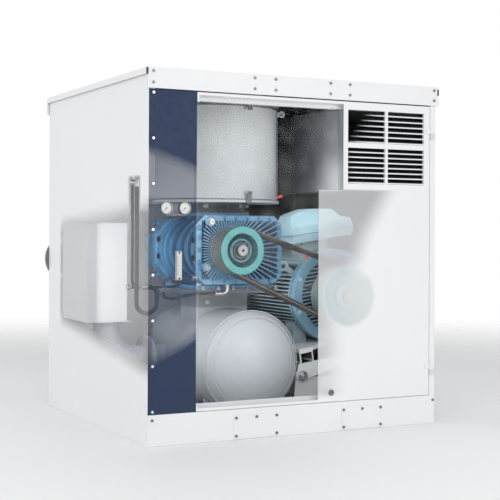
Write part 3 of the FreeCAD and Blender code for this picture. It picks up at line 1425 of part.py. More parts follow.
def make_hoses():
    wall_x = -half_width + sheet
    cover_x = blower_x - cover_half_width
    port_y = plate_front - cover_plate / 2
    port_z = line_z + 34
    near = V(-half_width + gauge_line_drop, gauge_line_y + 34, line_z)
    far = V(cover_x - 85, port_y, line_z)
    along = (far - near).normalize()
    tee = (near + far) * 0.5
    tee_reach = along * 18
    upper_line = bent_tube([V(line_x, gauge_line_y, gauge_line_top),
                            V(line_x, gauge_line_y, line_z + 6),
                            near, tee - tee_reach], (34, 60), thin_hose)
    cover_line = bent_tube([tee + tee_reach, far, V(cover_x - 54, port_y, port_z),
                            V(cover_x - 18, port_y, port_z)], (34, 24), thin_hose)
    drain_x = line_x + drain_step
    loop_x = line_x + drain_loop
    loop_z = drain_z - 106
    drain = bent_tube([V(line_x, drain_y, drain_top), V(line_x, drain_y, loop_z),
                       V(loop_x, drain_y, loop_z), V(loop_x, drain_y, drain_z),
                       V(drain_x + 16, drain_y, drain_z)], (43, 42, 30), thick_hose)
    dip = tee + V(11, 14, -46)
    branch = (dip - tee).normalize()
    elbow_x = balance_elbow_x
    elbow_z = balance_elbow_z
    balance = bent_tube([tee + branch * 18, dip, V(tee.x + 71, port_y, elbow_z - 20),
                         V(cover_x - 3, port_y, elbow_z), V(elbow_x, port_y, elbow_z)],
                        (24, 50, 50), thin_hose)
    save("hoses", upper_line, cover_line, drain, balance)

    solids = []
    for y, z, r in ((gauge_line_y, gauge_line_top, thin_hose), (drain_y, drain_top, thick_hose)):
        body = rod_z(r + 4, z, z + 26, line_x, y)
        spigot = rod_x(r + 2, wall_x, line_x, y, z + 16)
        nut = rod_x(r + 6, wall_x, wall_x + 8, y, z + 16)
        solids.append(joined([body, spigot, nut]))
    back_y = (drain_y + gauge_line_y) / 2
    stem = bent_tube([V(drain_x, drain_y, drain_z), V(drain_x, back_y, drain_z),
                      V(wall_x, back_y, drain_z)], (10,), thin_hose)
    solids.append(joined([rod_x(fitting_radius, drain_x - 16, drain_x + 16, drain_y, drain_z), stem,
                          rod_x(fitting_radius, wall_x, wall_x + 8, back_y, drain_z)]))
    cross = Part.makeCylinder(thin_hose + 3, 36, tee - tee_reach, along)
    outlet = Part.makeCylinder(thin_hose + 3, 18, tee, branch)
    solids.append(joined([cross, outlet]))
    solids.append(rod_x(fitting_radius, cover_x - 18, cover_x, port_y, port_z))
    solids.append(bent_tube([V(elbow_x, port_y, elbow_z), V(elbow_x + 60, port_y, elbow_z),
                             V(elbow_x + 60, port_y, blower_z - cover_half_height)], (24,), thick_hose))
    save("fittings", *solids)


def make_fasteners():
    heads = []
    front = V(0, -1, 0)
    rear = V(0, 1, 0)
    high = height - 15
    low = fascia_bottom + 22
    edge = half_width - band_screw_margin
    for x in (-edge,) + band_screws + (edge,):
        for z in (low, high):
            heads.append(hex_head(x, -fascia_front, z, front))
            heads.append(hex_head(x, fascia_front, z, rear))
    screw_count = 8
    for k in range(screw_count):
        z = base_height + 12 + k * (fascia_bottom - base_height - 28) / (screw_count - 1)
        heads.append(hex_head(-half_width + 18, -half_depth, z, front))
    for x in (-half_width + 18, half_width - 8):
        heads.append(hex_head(x, -half_depth, base_height - 21, front))
    reach_x = lift_width / 2 + 12
    reach_z = lift_height / 2 + 10
    for centre in lift_centres:
        for dx, dz in ((-reach_x, -reach_z), (reach_x, -reach_z), (-reach_x, reach_z),
                       (0, reach_z), (reach_x, reach_z)):
            heads.append(hex_head(centre + dx, -half_depth - sheet, lift_level + dz, front))
            heads.append(hex_head(centre + dx, half_depth + sheet, lift_level + dz, rear))
    for side in (-1, 1):
        for k in range(3):
            y = side * (bore_half - 30)
            x = blower_x + (k - 1) * (cover_half_width - 45)
            if k != 1:
                heads.append(hex_head(x, y, blower_z - foot_drop, V(0, 0, 1), 11, 9))
    save("fasteners", *heads)


make_base()
make_upper_frame()
make_panels()
make_instrument_panel()
make_door()
make_cooling_duct()
make_blower()
make_belt_drive()
make_motor()
make_motor_base()
make_tank()
make_outlet()
make_rear_connections()
make_inlet()
make_hoses()
make_fasteners()
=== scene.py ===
import math

import bmesh
import bpy
from mathutils import Matrix, Vector


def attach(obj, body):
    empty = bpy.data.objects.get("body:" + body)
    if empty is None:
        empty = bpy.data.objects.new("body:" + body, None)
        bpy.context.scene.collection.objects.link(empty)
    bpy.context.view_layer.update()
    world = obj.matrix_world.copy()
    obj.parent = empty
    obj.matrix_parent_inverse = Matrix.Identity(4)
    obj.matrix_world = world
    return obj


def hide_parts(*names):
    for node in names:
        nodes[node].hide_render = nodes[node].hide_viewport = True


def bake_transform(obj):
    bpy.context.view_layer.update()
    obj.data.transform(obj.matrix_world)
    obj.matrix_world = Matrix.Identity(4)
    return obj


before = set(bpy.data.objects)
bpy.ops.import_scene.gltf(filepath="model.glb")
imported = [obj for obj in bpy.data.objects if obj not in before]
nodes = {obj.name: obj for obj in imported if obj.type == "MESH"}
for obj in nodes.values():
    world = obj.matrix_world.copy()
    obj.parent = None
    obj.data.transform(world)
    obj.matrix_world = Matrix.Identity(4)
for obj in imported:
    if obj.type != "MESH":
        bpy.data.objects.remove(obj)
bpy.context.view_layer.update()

scene = bpy.context.scene

# Camera of the photograph, in metres and pixels of its 500 x 500 frame
photo_size = 500.0
focal_pixels = 1180.2
horizon_row = 231.19
camera_yaw = math.radians(27.346)
camera_roll = math.radians(0.26686)
camera_place = Vector((-2.4157, -4.8364, 0.83435))
sensor = 36.0

forward = (0.0, -1.0, 0.0)
rearward = (0.0, 1.0, 0.0)
leftward = (-1.0, 0.0, 0.0)
upward = (0.0, 0.0, 1.0)
origin = (0.0, 0.0, 0.0)

# Places and sizes of the CAD pieces that the scene needs again, in metres
drive_shaft = Vector((-0.140, 0.0, 0.752))
idler_shaft = Vector((-0.020, 0.0, 0.752))
motor_shaft = Vector((0.390, 0.0, 0.546))
tank_axis = Vector((-0.060, 0.0, 0.265))
canister_axis = Vector((-0.100, 0.045, 0.0))
canister_radius = 0.3095
deck_level = 0.578
casing_left = -0.290
cover_face = -0.2245
shaft_end = -0.3728
dial_level = 0.923
dial_front = -0.6222
sight_middle = -0.5485
sight_front = -0.6287
left_sheet_skin = (-0.6748, -0.6744)
front_sheet_skin = (-0.6198, -0.6194)
# radii of the middle line of the belts on the two pulleys
blower_pulley_radius = 0.099
motor_pulley_radius = 0.132
belt_count = 5
belt_pitch = 0.019
belt_front = -0.368
# from the upright motor to the one on its leaning base
motor_lean = (Matrix.Translation(motor_shaft) @ Matrix.Rotation(math.radians(-8.5), 4, "Y")
              @ Matrix.Translation(-motor_shaft))
# where the photograph's camera sees the motor pulley through the door
seen_pulley = Vector((0.2334, 0.0, 0.5621))

white = (0.86, 0.865, 0.875)


def make_camera():
    data = bpy.data.cameras.new("photo_camera")
    data.sensor_width = sensor
    data.lens = focal_pixels * sensor / photo_size
    data.shift_y = (horizon_row - photo_size / 2) / photo_size
    camera = bpy.data.objects.new("photo_camera", data)
    scene.collection.objects.link(camera)
    ahead = Vector((math.sin(camera_yaw), math.cos(camera_yaw), 0.0))
    right = Vector((math.cos(camera_yaw), -math.sin(camera_yaw), 0.0))
    up = Vector(upward)
    turned_right = right * math.cos(camera_roll) + up * math.sin(camera_roll)
    turned_up = up * math.cos(camera_roll) - right * math.sin(camera_roll)
    matrix = Matrix((turned_right, turned_up, -ahead)).transposed().to_4x4()
    matrix.translation = camera_place
    camera.matrix_world = matrix
    scene.camera = camera


class Finish:
    """One node material that reads Object coordinates."""

    def __init__(self, name, colour, roughness, metallic=0.0):
        self.material = bpy.data.materials.new(name)
        self.material.use_nodes = True
        self.tree = self.material.node_tree
        self.shader = self.tree.nodes["Principled BSDF"]
        self.output = self.tree.nodes["Material Output"]
        self.set("Base Color", (*colour, 1.0))
        self.set("Roughness", roughness)
        self.set("Metallic", metallic)
        self.place = self.node("ShaderNodeTexCoord").outputs["Object"]

    def node(self, kind, **settings):
        made = self.tree.nodes.new(kind)
        for key, value in settings.items():
            setattr(made, key, value)
        return made

    def set(self, socket, value):
        self.shader.inputs[socket].default_value = value

    def feed(self, socket, value):
        """Puts a number or another node's output into a socket."""
        if isinstance(value, bpy.types.NodeSocket):
            self.tree.links.new(value, socket)
        else:
            socket.default_value = value

    def drive(self, socket, value):
        self.feed(self.shader.inputs[socket], value)

    def math(self, operation, a, b=0.0, clamp=False):
        made = self.node("ShaderNodeMath", operation=operation, use_clamp=clamp)
        self.feed(made.inputs[0], a)
        self.feed(made.inputs[1], b)
        return made.outputs[0]

    def plus(self, a, b):
        return self.math("ADD", a, b)

    def minus(self, a, b):
        return self.math("SUBTRACT", a, b)

    def times(self, first, *others):
        for other in others:
            first = self.math("MULTIPLY", first, other)
        return first

    def most(self, a, b):
        return self.math("MAXIMUM", a, b)

    def either(self, share, a, b):
        """The first value where the share is 1 and the second where it is 0."""
        return self.math("ADD", self.times(share, a), self.times(self.minus(1.0, share), b), clamp=True)

    def axis(self, letter):
        split = self.node("ShaderNodeSeparateXYZ")
        self.feed(split.inputs[0], self.place)
        return split.outputs[letter]

    def from_axis(self, centre):
        """Distance from an axis that runs along Y."""
        x = self.minus(self.axis("X"), centre.x)
        z = self.minus(self.axis("Z"), centre.z)
        return self.math("SQRT", self.plus(self.times(x, x), self.times(z, z)))

    def noise(self, scale, detail=3.0, rough=0.5):
        made = self.node("ShaderNodeTexNoise")
        self.feed(made.inputs["Vector"], self.place)
        made.inputs["Scale"].default_value = scale
        made.inputs["Detail"].default_value = detail
        made.inputs["Roughness"].default_value = rough
        return made.outputs["Fac"]

    def cells(self, scale, output="Distance"):
        made = self.node("ShaderNodeTexVoronoi")
        self.feed(made.inputs["Vector"], self.place)
        made.inputs["Scale"].default_value = scale
        return made.outputs[output]

    def span(self, value, low, high, to_low=0.0, to_high=1.0, smooth=True):
        made = self.node("ShaderNodeMapRange")
        made.interpolation_type = "SMOOTHSTEP" if smooth else "LINEAR"
        self.feed(made.inputs["Value"], value)
        made.inputs["From Min"].default_value = low
        made.inputs["From Max"].default_value = high
        made.inputs["To Min"].default_value = to_low
        made.inputs["To Max"].default_value = to_high
        return made.outputs["Result"]

    def between(self, value, start, full, fall, end):
        """1 from full to fall, and 0 before start and after end."""
        return self.times(self.span(value, start, full), self.span(value, end, fall))

    def mix(self, factor, a, b):
        made = self.node("ShaderNodeMix", data_type="RGBA")
        self.feed(made.inputs[0], factor)
        for socket, value in ((made.inputs[6], a), (made.inputs[7], b)):
            if isinstance(value, tuple):
                value = (*value, 1.0)
            self.feed(socket, value)
        return made.outputs[2]

    def bump(self, height, strength, distance, onto=None):
        made = self.node("ShaderNodeBump")
        made.inputs["Strength"].default_value = strength
        made.inputs["Distance"].default_value = distance
        self.feed(made.inputs["Height"], height)
        if onto is not None:
            self.feed(made.inputs["Normal"], onto)
        self.drive("Normal", made.outputs[0])

    def rounded(self, radius):
        """Softened edges, as a folded or cast edge catches the light; none at radius 0."""
        if not radius:
            return None
        made = self.node("ShaderNodeBevel", samples=4)
        made.inputs["Radius"].default_value = radius
        return made.outputs[0]

    def edge_mask(self, radius):
        """1 on sharp edges and 0 on flats, from how far rounding turns the normal."""
        flat = self.node("ShaderNodeNewGeometry").outputs["Normal"]
        dot = self.node("ShaderNodeVectorMath", operation="DOT_PRODUCT")
        self.feed(dot.inputs[0], self.rounded(radius))
        self.feed(dot.inputs[1], flat)
        return self.span(dot.outputs["Value"], 0.995, 0.86)

    def hollows(self, distance):
        made = self.node("ShaderNodeAmbientOcclusion", samples=6, only_local=True)
        made.inputs["Distance"].default_value = distance
        return made.outputs["AO"]

    def vary_gloss(self, scale, detail, low, high):
        """Roughness that wanders between two values."""
        self.drive("Roughness", self.span(self.noise(scale, detail), 0.3, 0.7, low, high))


def shade(colour, factor):
    return tuple(min(1.0, c * factor) for c in colour)


def powder_coat(name, colour, roughness=0.42, edge=0.0012, gloss_spread=0.08, clouded=True):
    """Powder coat on sheet: faint orange peel, faint clouding, soft folded edges."""
    f = Finish(name, colour, roughness)
    if clouded:
        cloud = f.span(f.noise(1.6), 0.3, 0.75)
        f.drive("Base Color", f.mix(cloud, shade(colour, 0.985), shade(colour, 1.01)))
    f.vary_gloss(38.0, 4.0, roughness - gloss_spread, roughness + gloss_spread)
    f.bump(f.noise(420.0, 2.0), 0.12 if edge else 0.04, 0.0004, f.rounded(edge))
    return f


def enamel(f, low, high):
    """Two shades in soft patches."""
    return f.mix(f.span(f.noise(9.0, 5.0, 0.62), 0.32, 0.72), low, high)


def casting(name, colour, edge=0.0018, aged=True):
    """Enamel on a casting: sand-cast grain, and when aged darker hollows and paler worn edges."""
    roughness = 0.36
    f = Finish(name, colour, roughness)
    f.set("Coat Weight", 0.25)
    f.set("Coat Roughness", 0.22)
    if aged:
        base = enamel(f, shade(colour, 0.84), shade(colour, 1.1))
        rubbed = f.times(f.edge_mask(0.0018), f.span(f.noise(30.0, 4.0), 0.35, 0.7, 0.15, 1.0), 0.35)
        base = f.mix(rubbed, base, shade(colour, 1.7))
        sunk = f.span(f.hollows(0.03), 0.25, 0.85, 0.75, 0.0)
        f.drive("Base Color", f.mix(sunk, base, shade(colour, 0.3)))
    f.vary_gloss(22.0, 4.0, roughness - 0.08, roughness + 0.14)
    f.bump(f.noise(260.0, 3.0, 0.6), 0.35, 0.0008, f.rounded(edge))
    return f


def turned_metal(name, colour, centre, roughness=0.42):
    """Lathe-turned steel about an axis along Y: fine rings on faces and along the shaft."""
    rings_per_metre = 540.0
    f = Finish(name, colour, roughness, metallic=1.0)
    way = f.plus(f.from_axis(centre), f.axis("Y"))
    rings = f.math("SINE", f.times(way, 2.0 * math.pi * rings_per_metre))
    stain = f.span(f.noise(25.0, 4.0, 0.6), 0.35, 0.7)
    f.drive("Base Color", f.mix(stain, shade(colour, 0.8), shade(colour, 1.05)))
    f.vary_gloss(60.0, 3.0, roughness - 0.08, roughness + 0.12)
    f.bump(rings, 0.06, 0.0002)
    return f


def plain_steel(name, colour, roughness=0.3, stained=True):
    """Zinc-plated or bright steel with small stains."""
    f = Finish(name, colour, roughness, metallic=1.0)
    if stained:
        stain = f.span(f.noise(45.0, 4.0, 0.6), 0.3, 0.75)
        f.drive("Base Color", f.mix(stain, shade(colour, 0.78), shade(colour, 1.05)))
    f.vary_gloss(90.0, 3.0, roughness - 0.08, roughness + 0.14)
    f.bump(f.noise(300.0, 2.0), 0.08, 0.0003, f.rounded(0.0006))
    return f


def galvanised_sheet(name, colour):
    """Hot-dip galvanised sheet with spangles of slightly different grey."""
    f = Finish(name, colour, 0.4, metallic=0.85)
    grey = f.node("ShaderNodeRGBToBW")
    f.feed(grey.inputs[0], f.cells(70.0, "Color"))
    spangle = grey.outputs[0]
    f.drive("Base Color", f.mix(f.span(spangle, 0.2, 0.8), shade(colour, 0.8), shade(colour, 1.08)))
    f.drive("Roughness", f.span(spangle, 0.2, 0.8, 0.3, 0.5))
    f.bump(f.noise(120.0), 0.08, 0.0004, f.rounded(0.001))
    return f


def rubber(name, colour, roughness, dusty=True):
    """Rubber or moulded plastic with a fine grain and a little dust."""
    f = Finish(name, colour, roughness)
    if dusty:
        dust = f.span(f.noise(60.0, 4.0, 0.6), 0.4, 0.75)
        f.drive("Base Color", f.mix(dust, shade(colour, 0.85), shade(colour, 1.7)))
    f.vary_gloss(110.0, 3.0, roughness - 0.1, roughness + 0.12)
    f.bump(f.noise(900.0, 2.0), 0.2, 0.0003)
    return f


def moulded_foam(name, colour, faced):
    """Open-cell sound foam with pyramids, faced with a pale film at the rear left."""
    pitch = 0.045
    f = Finish(name, colour, 0.95)
    film = f.times(f.span(f.axis("X"), 0.14, 0.02), f.span(f.axis("Y"), 0.50, 0.56))
    first, second, third = (f.math("COSINE", f.times(f.axis(letter), 2.0 * math.pi / pitch))
                            for letter in "XYZ")
    waves = f.plus(f.plus(first, second), third)
    height = f.plus(f.times(waves, 0.5), f.times(f.cells(420.0), 0.25))
    open_cell = f.mix(f.span(waves, -1.0, 1.6), shade(colour, 0.45), shade(colour, 1.5))
    f.drive("Base Color", f.mix(film, open_cell, faced))
    f.bump(f.times(height, f.span(film, 0.0, 1.0, 1.0, 0.12)), 0.7, 0.006)
    f.set("Specular IOR Level", 0.1)
    return f


def dress(finish, *names):
    for name in names:
        slots = nodes[name].data.materials
        slots.clear()
        slots.append(finish.material)


def dress_ghosted(f, alpha, name):
    """Lets the machine behind a panel show where the photograph's cutaway does."""
    f.drive("Alpha", alpha)
    dress(f, name)


def see_through(f, patch, least, inner):
    """Alpha of a sheet: its outer face keeps a film of paint in the patch and its inner faces none."""
    film = f.span(patch, 0.0, 1.0, 1.0, least, smooth=False)
    bare = f.span(patch, 0.0, 0.30, 1.0, 0.0)
    return f.either(inner, bare, film)


def make_left_wall():
    f = powder_coat("left_wall_paint", white)
    y = f.axis("Y")
    z = f.axis("Z")
    # the see-through patch is a wedge that opens towards the front edge
    reach = f.span(y, -0.62, 0.45, smooth=False)
    top = f.minus(0.985, f.times(reach, 0.076))
    foot = f.plus(0.237, f.times(reach, 0.137))
    wedge = f.times(f.span(f.minus(top, z), 0.0, 0.10), f.span(f.minus(z, foot), 0.0, 0.11),
                    f.span(y, 0.47, 0.40))
    # and a narrow band that shows the hoses up to their top unions
    hose_band = f.times(f.between(y, -0.545, -0.515, -0.430, -0.395),
                        f.between(z, 0.80, 0.90, 1.042, 1.058))
    inner = f.span(f.axis("X"), *left_sheet_skin)
    dress_ghosted(f, see_through(f, f.most(wedge, hose_band), 0.16, inner), "side_panel_left")


def make_strip():
    """Navy strip beside the window; its patch narrows a little towards the window."""
    f = powder_coat("instrument_navy", (0.026, 0.041, 0.094), 0.5)
    f.set("Specular IOR Level", 0.2)
    z = f.axis("Z")
    across = f.span(f.axis("X"), -0.675, -0.472, smooth=False)
    top = f.minus(1.160, f.times(across, 0.074))
    foot = f.plus(0.305, f.times(across, 0.100))
    patch = f.times(f.span(f.minus(top, z), -0.03, 0.05), f.span(f.minus(z, foot), -0.03, 0.06))
    inner = f.span(f.axis("Y"), *front_sheet_skin)
    dress_ghosted(f, see_through(f, patch, 0.47, inner), "instrument_panel")


def make_door_paint():
    f = powder_coat("door_paint", white)
    x = f.axis("X")
    z = f.axis("Z")
    # higher up the sheet is see-through left of two slanted lines
    low_line = f.plus(0.022, f.times(z, 0.354))
    high_line = f.minus(f.times(z, 0.63), 0.203)
    slanted = f.span(f.minus(x, f.most(low_line, high_line)), -0.075, 0.070, 1.0, 0.0)
    # lower down only the edge fades, and a round patch shows the motor pulley
    edge = f.span(x, 0.060, 0.235, 0.85, 0.0)
    disc = f.times(f.span(f.from_axis(seen_pulley), 0.140, 0.112), f.span(x, 0.12, 0.36, 0.82, 0.40))
    across = f.either(f.span(z, 0.60, 0.73), slanted, f.most(edge, disc))
    patch = f.times(across, f.between(z, 0.135, 0.165, 1.006, 1.016))
    sheet = see_through(f, patch, 0.53, f.span(f.axis("Y"), *front_sheet_skin))
    # left of the window's right edge only the rails show, the stile is cut away
    rails = f.most(f.span(z, 0.165, 0.135), f.span(z, 1.340, 1.345))
    cut = f.span(x, 0.080, 0.086, 1.0, 0.0, smooth=False)
    dress_ghosted(f, f.either(cut, f.most(rails, 0.04), sheet), "door_panel")


def make_frame_grey():
    """Grey paint on the frame; its front left post is cut away where the photograph looks in."""
    grey = (0.72, 0.73, 0.75)
    f = powder_coat("frame_grey", grey, clouded=False)
    x = f.axis("X")
    y = f.axis("Y")
    z = f.axis("Z")
    post = f.times(f.span(x, -0.50, -0.51), f.span(y, -0.40, -0.41), f.between(z, 0.26, 0.32, 1.12, 1.18))
    # painted shade makes the rear right part near black, and painted light makes the front beam at the top
    # white
    rear = f.times(f.span(x, 0.20, 0.24), f.span(y, 0.30, 0.34))
    painted_light_beam = f.times(f.span(z, 1.28, 1.30), f.span(y, -0.40, -0.45))
    paint_with_painted_shading = f.mix(rear, grey, (0.020, 0.021, 0.023))
    f.drive("Base Color", f.mix(painted_light_beam, paint_with_painted_shading, (0.97, 0.97, 0.975)))
    dress_ghosted(f, f.span(post, 0.0, 1.0, 1.0, 0.05), "upper_frame")


def make_louvre_paint():
    """White blades that fade towards the left, with painted shade behind their front edges."""
    f = powder_coat("louvre_paint", white, clouded=False)
    x = f.axis("X")
    z = f.axis("Z")
    slant = f.minus(x, f.times(f.minus(z, 1.27), 0.75))
    fade_upper = f.span(slant, 0.255, 0.395)
    fade_lower = f.span(x, 0.215, 0.265, 0.35, 1.0)
    # painted shade: the sloping part of each blade behind its front lip is near black
    painted_shade_behind = f.span(f.axis("Y"), -0.6120, -0.6070)
    f.drive("Base Color", f.mix(painted_shade_behind, white, (0.012, 0.012, 0.013)))
    dress_ghosted(f, f.either(f.span(z, 1.19, 1.215), fade_upper, fade_lower), "louvre_slats")


def make_duct():
    """Grey sheet with painted light and shade: pale at the front and dark towards the rear, and its inside
    painted near black as painted shade.
    """
    f = powder_coat("duct_grey", (0.34, 0.36, 0.38), 0.6, clouded=False)
    f.set("Specular IOR Level", 0.15)
    y = f.axis("Y")
    # painted light at the front: pale towards the lower edge and darker towards the top
    painted_light_front = f.mix(f.span(f.axis("Z"), 1.22, 1.03), (0.19, 0.20, 0.215), (0.66, 0.67, 0.68))
    # painted shade, darkening towards the rear
    rear = f.mix(f.span(y, -0.33, -0.10), (0.060, 0.066, 0.074), (0.006, 0.008, 0.010))
    side = f.mix(f.span(y, -0.585, -0.33), painted_light_front, rear)
    # painted shade: the inside face is painted near black
    inside = f.times(f.span(f.axis("X"), 0.2056, 0.2064), f.span(y, -0.575, -0.555))
    f.drive("Base Color", f.mix(inside, side, (0.030, 0.031, 0.032)))
    dress(f, "cooling_duct")


def make_duct_flange():
    """Folded front flange of the duct, which closes the gap beside the louvres; painted light makes it pale
    at the bottom and painted shade dark at the top.
    """
    f = powder_coat("flange_grey", (0.5, 0.5, 0.5), 0.6, clouded=False)
    # painted light at the bottom, painted shade at the top
    low = f.span(f.axis("Z"), 1.24, 1.06)
    f.drive("Base Color", f.mix(low, (0.21, 0.22, 0.235), (0.76, 0.77, 0.775)))
    flange = block((0.0290, 0.0020, 0.3420), (0.2200, -0.5830, 1.1795), 0.0006)
    finished(flange, "duct_flange", f)


def make_pane():
    """Clear sheet: mostly see-through, with a faint gloss that grows at grazing angles."""
    gloss_roughness = 0.03
    f = Finish("clear_pane", (0.97, 0.985, 0.99), gloss_roughness)
    f.set("IOR", 1.45)
    see = f.node("ShaderNodeBsdfTransparent")
    see.inputs[0].default_value = (0.985, 0.992, 0.995, 1.0)
    gloss = f.node("ShaderNodeBsdfGlossy")
    gloss.inputs["Roughness"].default_value = gloss_roughness
    edge = f.node("ShaderNodeLayerWeight")
    edge.inputs["Blend"].default_value = 0.12
    smear = f.span(f.noise(14.0, 4.0), 0.35, 0.75, 0.0, 0.012)
    share = f.math("ADD", f.times(edge.outputs["Fresnel"], 0.5), smear, clamp=True)
    blend = f.node("ShaderNodeMixShader")
    for socket, value in zip(blend.inputs, (share, see.outputs[0], gloss.outputs[0])):
        f.feed(socket, value)
    f.feed(f.output.inputs["Surface"], blend.outputs[0])
    dress(f, "door_window")


def dress_enclosure():
    shell = powder_coat("enclosure_white", white)
    dress(shell, "base_frame", "lifting_covers", "side_panel_right", "rear_panel", "roof_panel",
          "roof_fascia")
    make_frame_grey()
    dress(galvanised_sheet("galvanised", (0.66, 0.67, 0.68)), "floor_pan", "silencer_core")
    dress(moulded_foam("sound_foam", (0.014, 0.015, 0.016), (0.70, 0.71, 0.72)), "acoustic_lining")
    make_duct()
    make_left_wall()
    make_strip()
    make_door_paint()
    make_louvre_paint()
    make_pane()


def make_cover_finish():
    """Blue casting with painted highlights on the fin tips and on pads at the left, and painted shade on the
    roots between the fins.
    """
    f = casting("cover_blue", (0.12, 0.31, 0.50), aged=False)
    x = f.axis("X")
    y = f.axis("Y")
    z = f.axis("Z")
    inner = f.times(f.between(x, -0.268, -0.262, 0.102, 0.108), f.between(z, 0.622, 0.628, 0.876, 0.882))
    # painted shade on the roots between the fins
    root = f.times(f.span(y, -0.2450, -0.2270), inner)
    # painted highlight on the fin tips
    painted_highlight_tip = f.times(f.span(y, -0.2470, -0.2482), inner)
    heights = f.most(f.span(z, 0.846, 0.850), f.between(z, 0.706, 0.710, 0.835, 0.839))
    # painted highlight on pads at the left
    painted_highlight_pad = f.times(f.span(x, -0.236, -0.240), heights, f.span(y, -0.2235, -0.2243))
    base = enamel(f, (0.10, 0.265, 0.43), (0.135, 0.34, 0.54))
    base = f.mix(painted_highlight_tip, base, (0.17, 0.39, 0.60))
    base = f.mix(painted_highlight_pad, base, (0.24, 0.47, 0.66))
    f.drive("Base Color", f.mix(root, base, (0.020, 0.055, 0.100)))
    dress(f, "drive_cover")


def make_pulley_finish(node, shaft, rim, tread, recess):
    """Teal paint, another shade inside the rim; the grooved side is greyed by the belts."""
    f = casting(node + "_teal", (0.06, 0.29, 0.285), edge=0.0, aged=False)
    radius = f.from_axis(shaft)
    base = enamel(f, (0.055, 0.265, 0.262), (0.070, 0.310, 0.305))
    base = f.mix(f.span(radius, rim, rim - 0.006), base, recess)
    grooves = f.times(f.span(radius, tread, tread + 0.002), f.span(f.axis("Y"), -0.3690, -0.3670))
    f.drive("Base Color", f.mix(grooves, base, (0.21, 0.29, 0.285)))
    dress(f, node)


def make_shield_finish():
    """Blue ring; the web inside it is in shade."""
    f = casting("motor_blue", (0.20, 0.40, 0.54), edge=0.0, aged=False)
    web = f.times(f.span(f.from_axis(motor_shaft), 0.1655, 0.1645), f.span(f.axis("Y"), -0.2440, -0.2390))
    base = enamel(f, (0.120, 0.250, 0.335), (0.165, 0.310, 0.400))
    f.drive("Base Color", f.mix(web, base, (0.020, 0.035, 0.048)))
    dress(f, "motor_shields")


def make_housing_finish():
    """Grey-blue fins, with painted light pale at their tips and painted shade dark at their roots."""
    f = casting("motor_grey", (0.12, 0.18, 0.21), aged=False)
    # painted shade at the fin roots, painted light on the tips
    reach = f.span(f.from_axis(motor_shaft), 0.1860, 0.2045)
    dust = f.span(f.noise(14.0, 4.0), 0.3, 0.7, 0.75, 1.15)
    pale = f.mix(dust, (0.14, 0.21, 0.24), (0.26, 0.35, 0.39))
    f.drive("Base Color", f.mix(reach, (0.020, 0.030, 0.036), pale))
    dress(f, "motor_housing")


def make_screw_finish():
    """Screws: bright on the instrument panel, dull on the roof band and the base."""
    bright = (0.62, 0.63, 0.64)
    f = plain_steel("screw_steel", bright, 0.35, stained=False)
    z = f.axis("Z")
    outside = f.most(f.span(z, 1.384, 1.386), f.span(z, 0.121, 0.119))
    f.drive("Base Color", f.mix(outside, bright, (0.17, 0.175, 0.18)))
    dress(f, "fasteners")


def make_swing_base_finish():
    """Pale channels that lean with the base, with painted shade dark inside them."""
    pale = (0.66, 0.68, 0.68)
    slope = 0.1495
    f = powder_coat("base_grey", pale, 0.35, clouded=False)
    level = f.minus(f.axis("Z"), f.times(f.minus(f.axis("X"), 0.2), slope))
    # painted shade inside the channels
    painted_shade_hollow = f.times(f.between(level, 0.259, 0.262, 0.298, 0.301), f.span(f.axis("Y"), -0.2990, -0.2950))
    f.drive("Base Color", f.mix(painted_shade_hollow, pale, (0.060, 0.063, 0.066)))
    dress(f, "swing_base")


def make_tank_finish():
    """Smooth grey, with painted shade making the neck above the shell darker."""
    grey = (0.47, 0.49, 0.515)
    f = powder_coat("tank_grey", grey, 0.30, gloss_spread=0.02, edge=0.0, clouded=False)
    z = f.axis("Z")
    # painted shade under the deck, darkest at the top of the neck
    painted_shade_neck = f.mix(f.span(z, 0.545, 0.560), (0.26, 0.28, 0.30), (0.15, 0.17, 0.19))
    f.drive("Base Color", f.mix(f.span(z, 0.485, 0.500), grey, painted_shade_neck))
    dress(f, "discharge_tank", "tank_saddles", "rear_connections")


def make_canister_finish():
    """Smooth grey that pales upwards as painted light, with a dark line under the lid and one near the foot.
    """
    f = powder_coat("canister_grey", (0.50, 0.52, 0.53), 0.45, gloss_spread=0.02, edge=0.0, clouded=False)
    z = f.axis("Z")
    line = f.most(f.between(z, 1.3780, 1.3795, 1.3915, 1.3930), f.between(z, 0.9700, 0.9720, 0.9750, 0.9770))
    # painted light: paler towards the top
    paint_with_painted_shading = f.mix(f.span(z, 0.98, 1.36), (0.42, 0.44, 0.45), (0.56, 0.58, 0.59))
    f.drive("Base Color", f.mix(line, paint_with_painted_shading, (0.16, 0.17, 0.18)))
    dress(f, "intake_canister", "canister_lid")


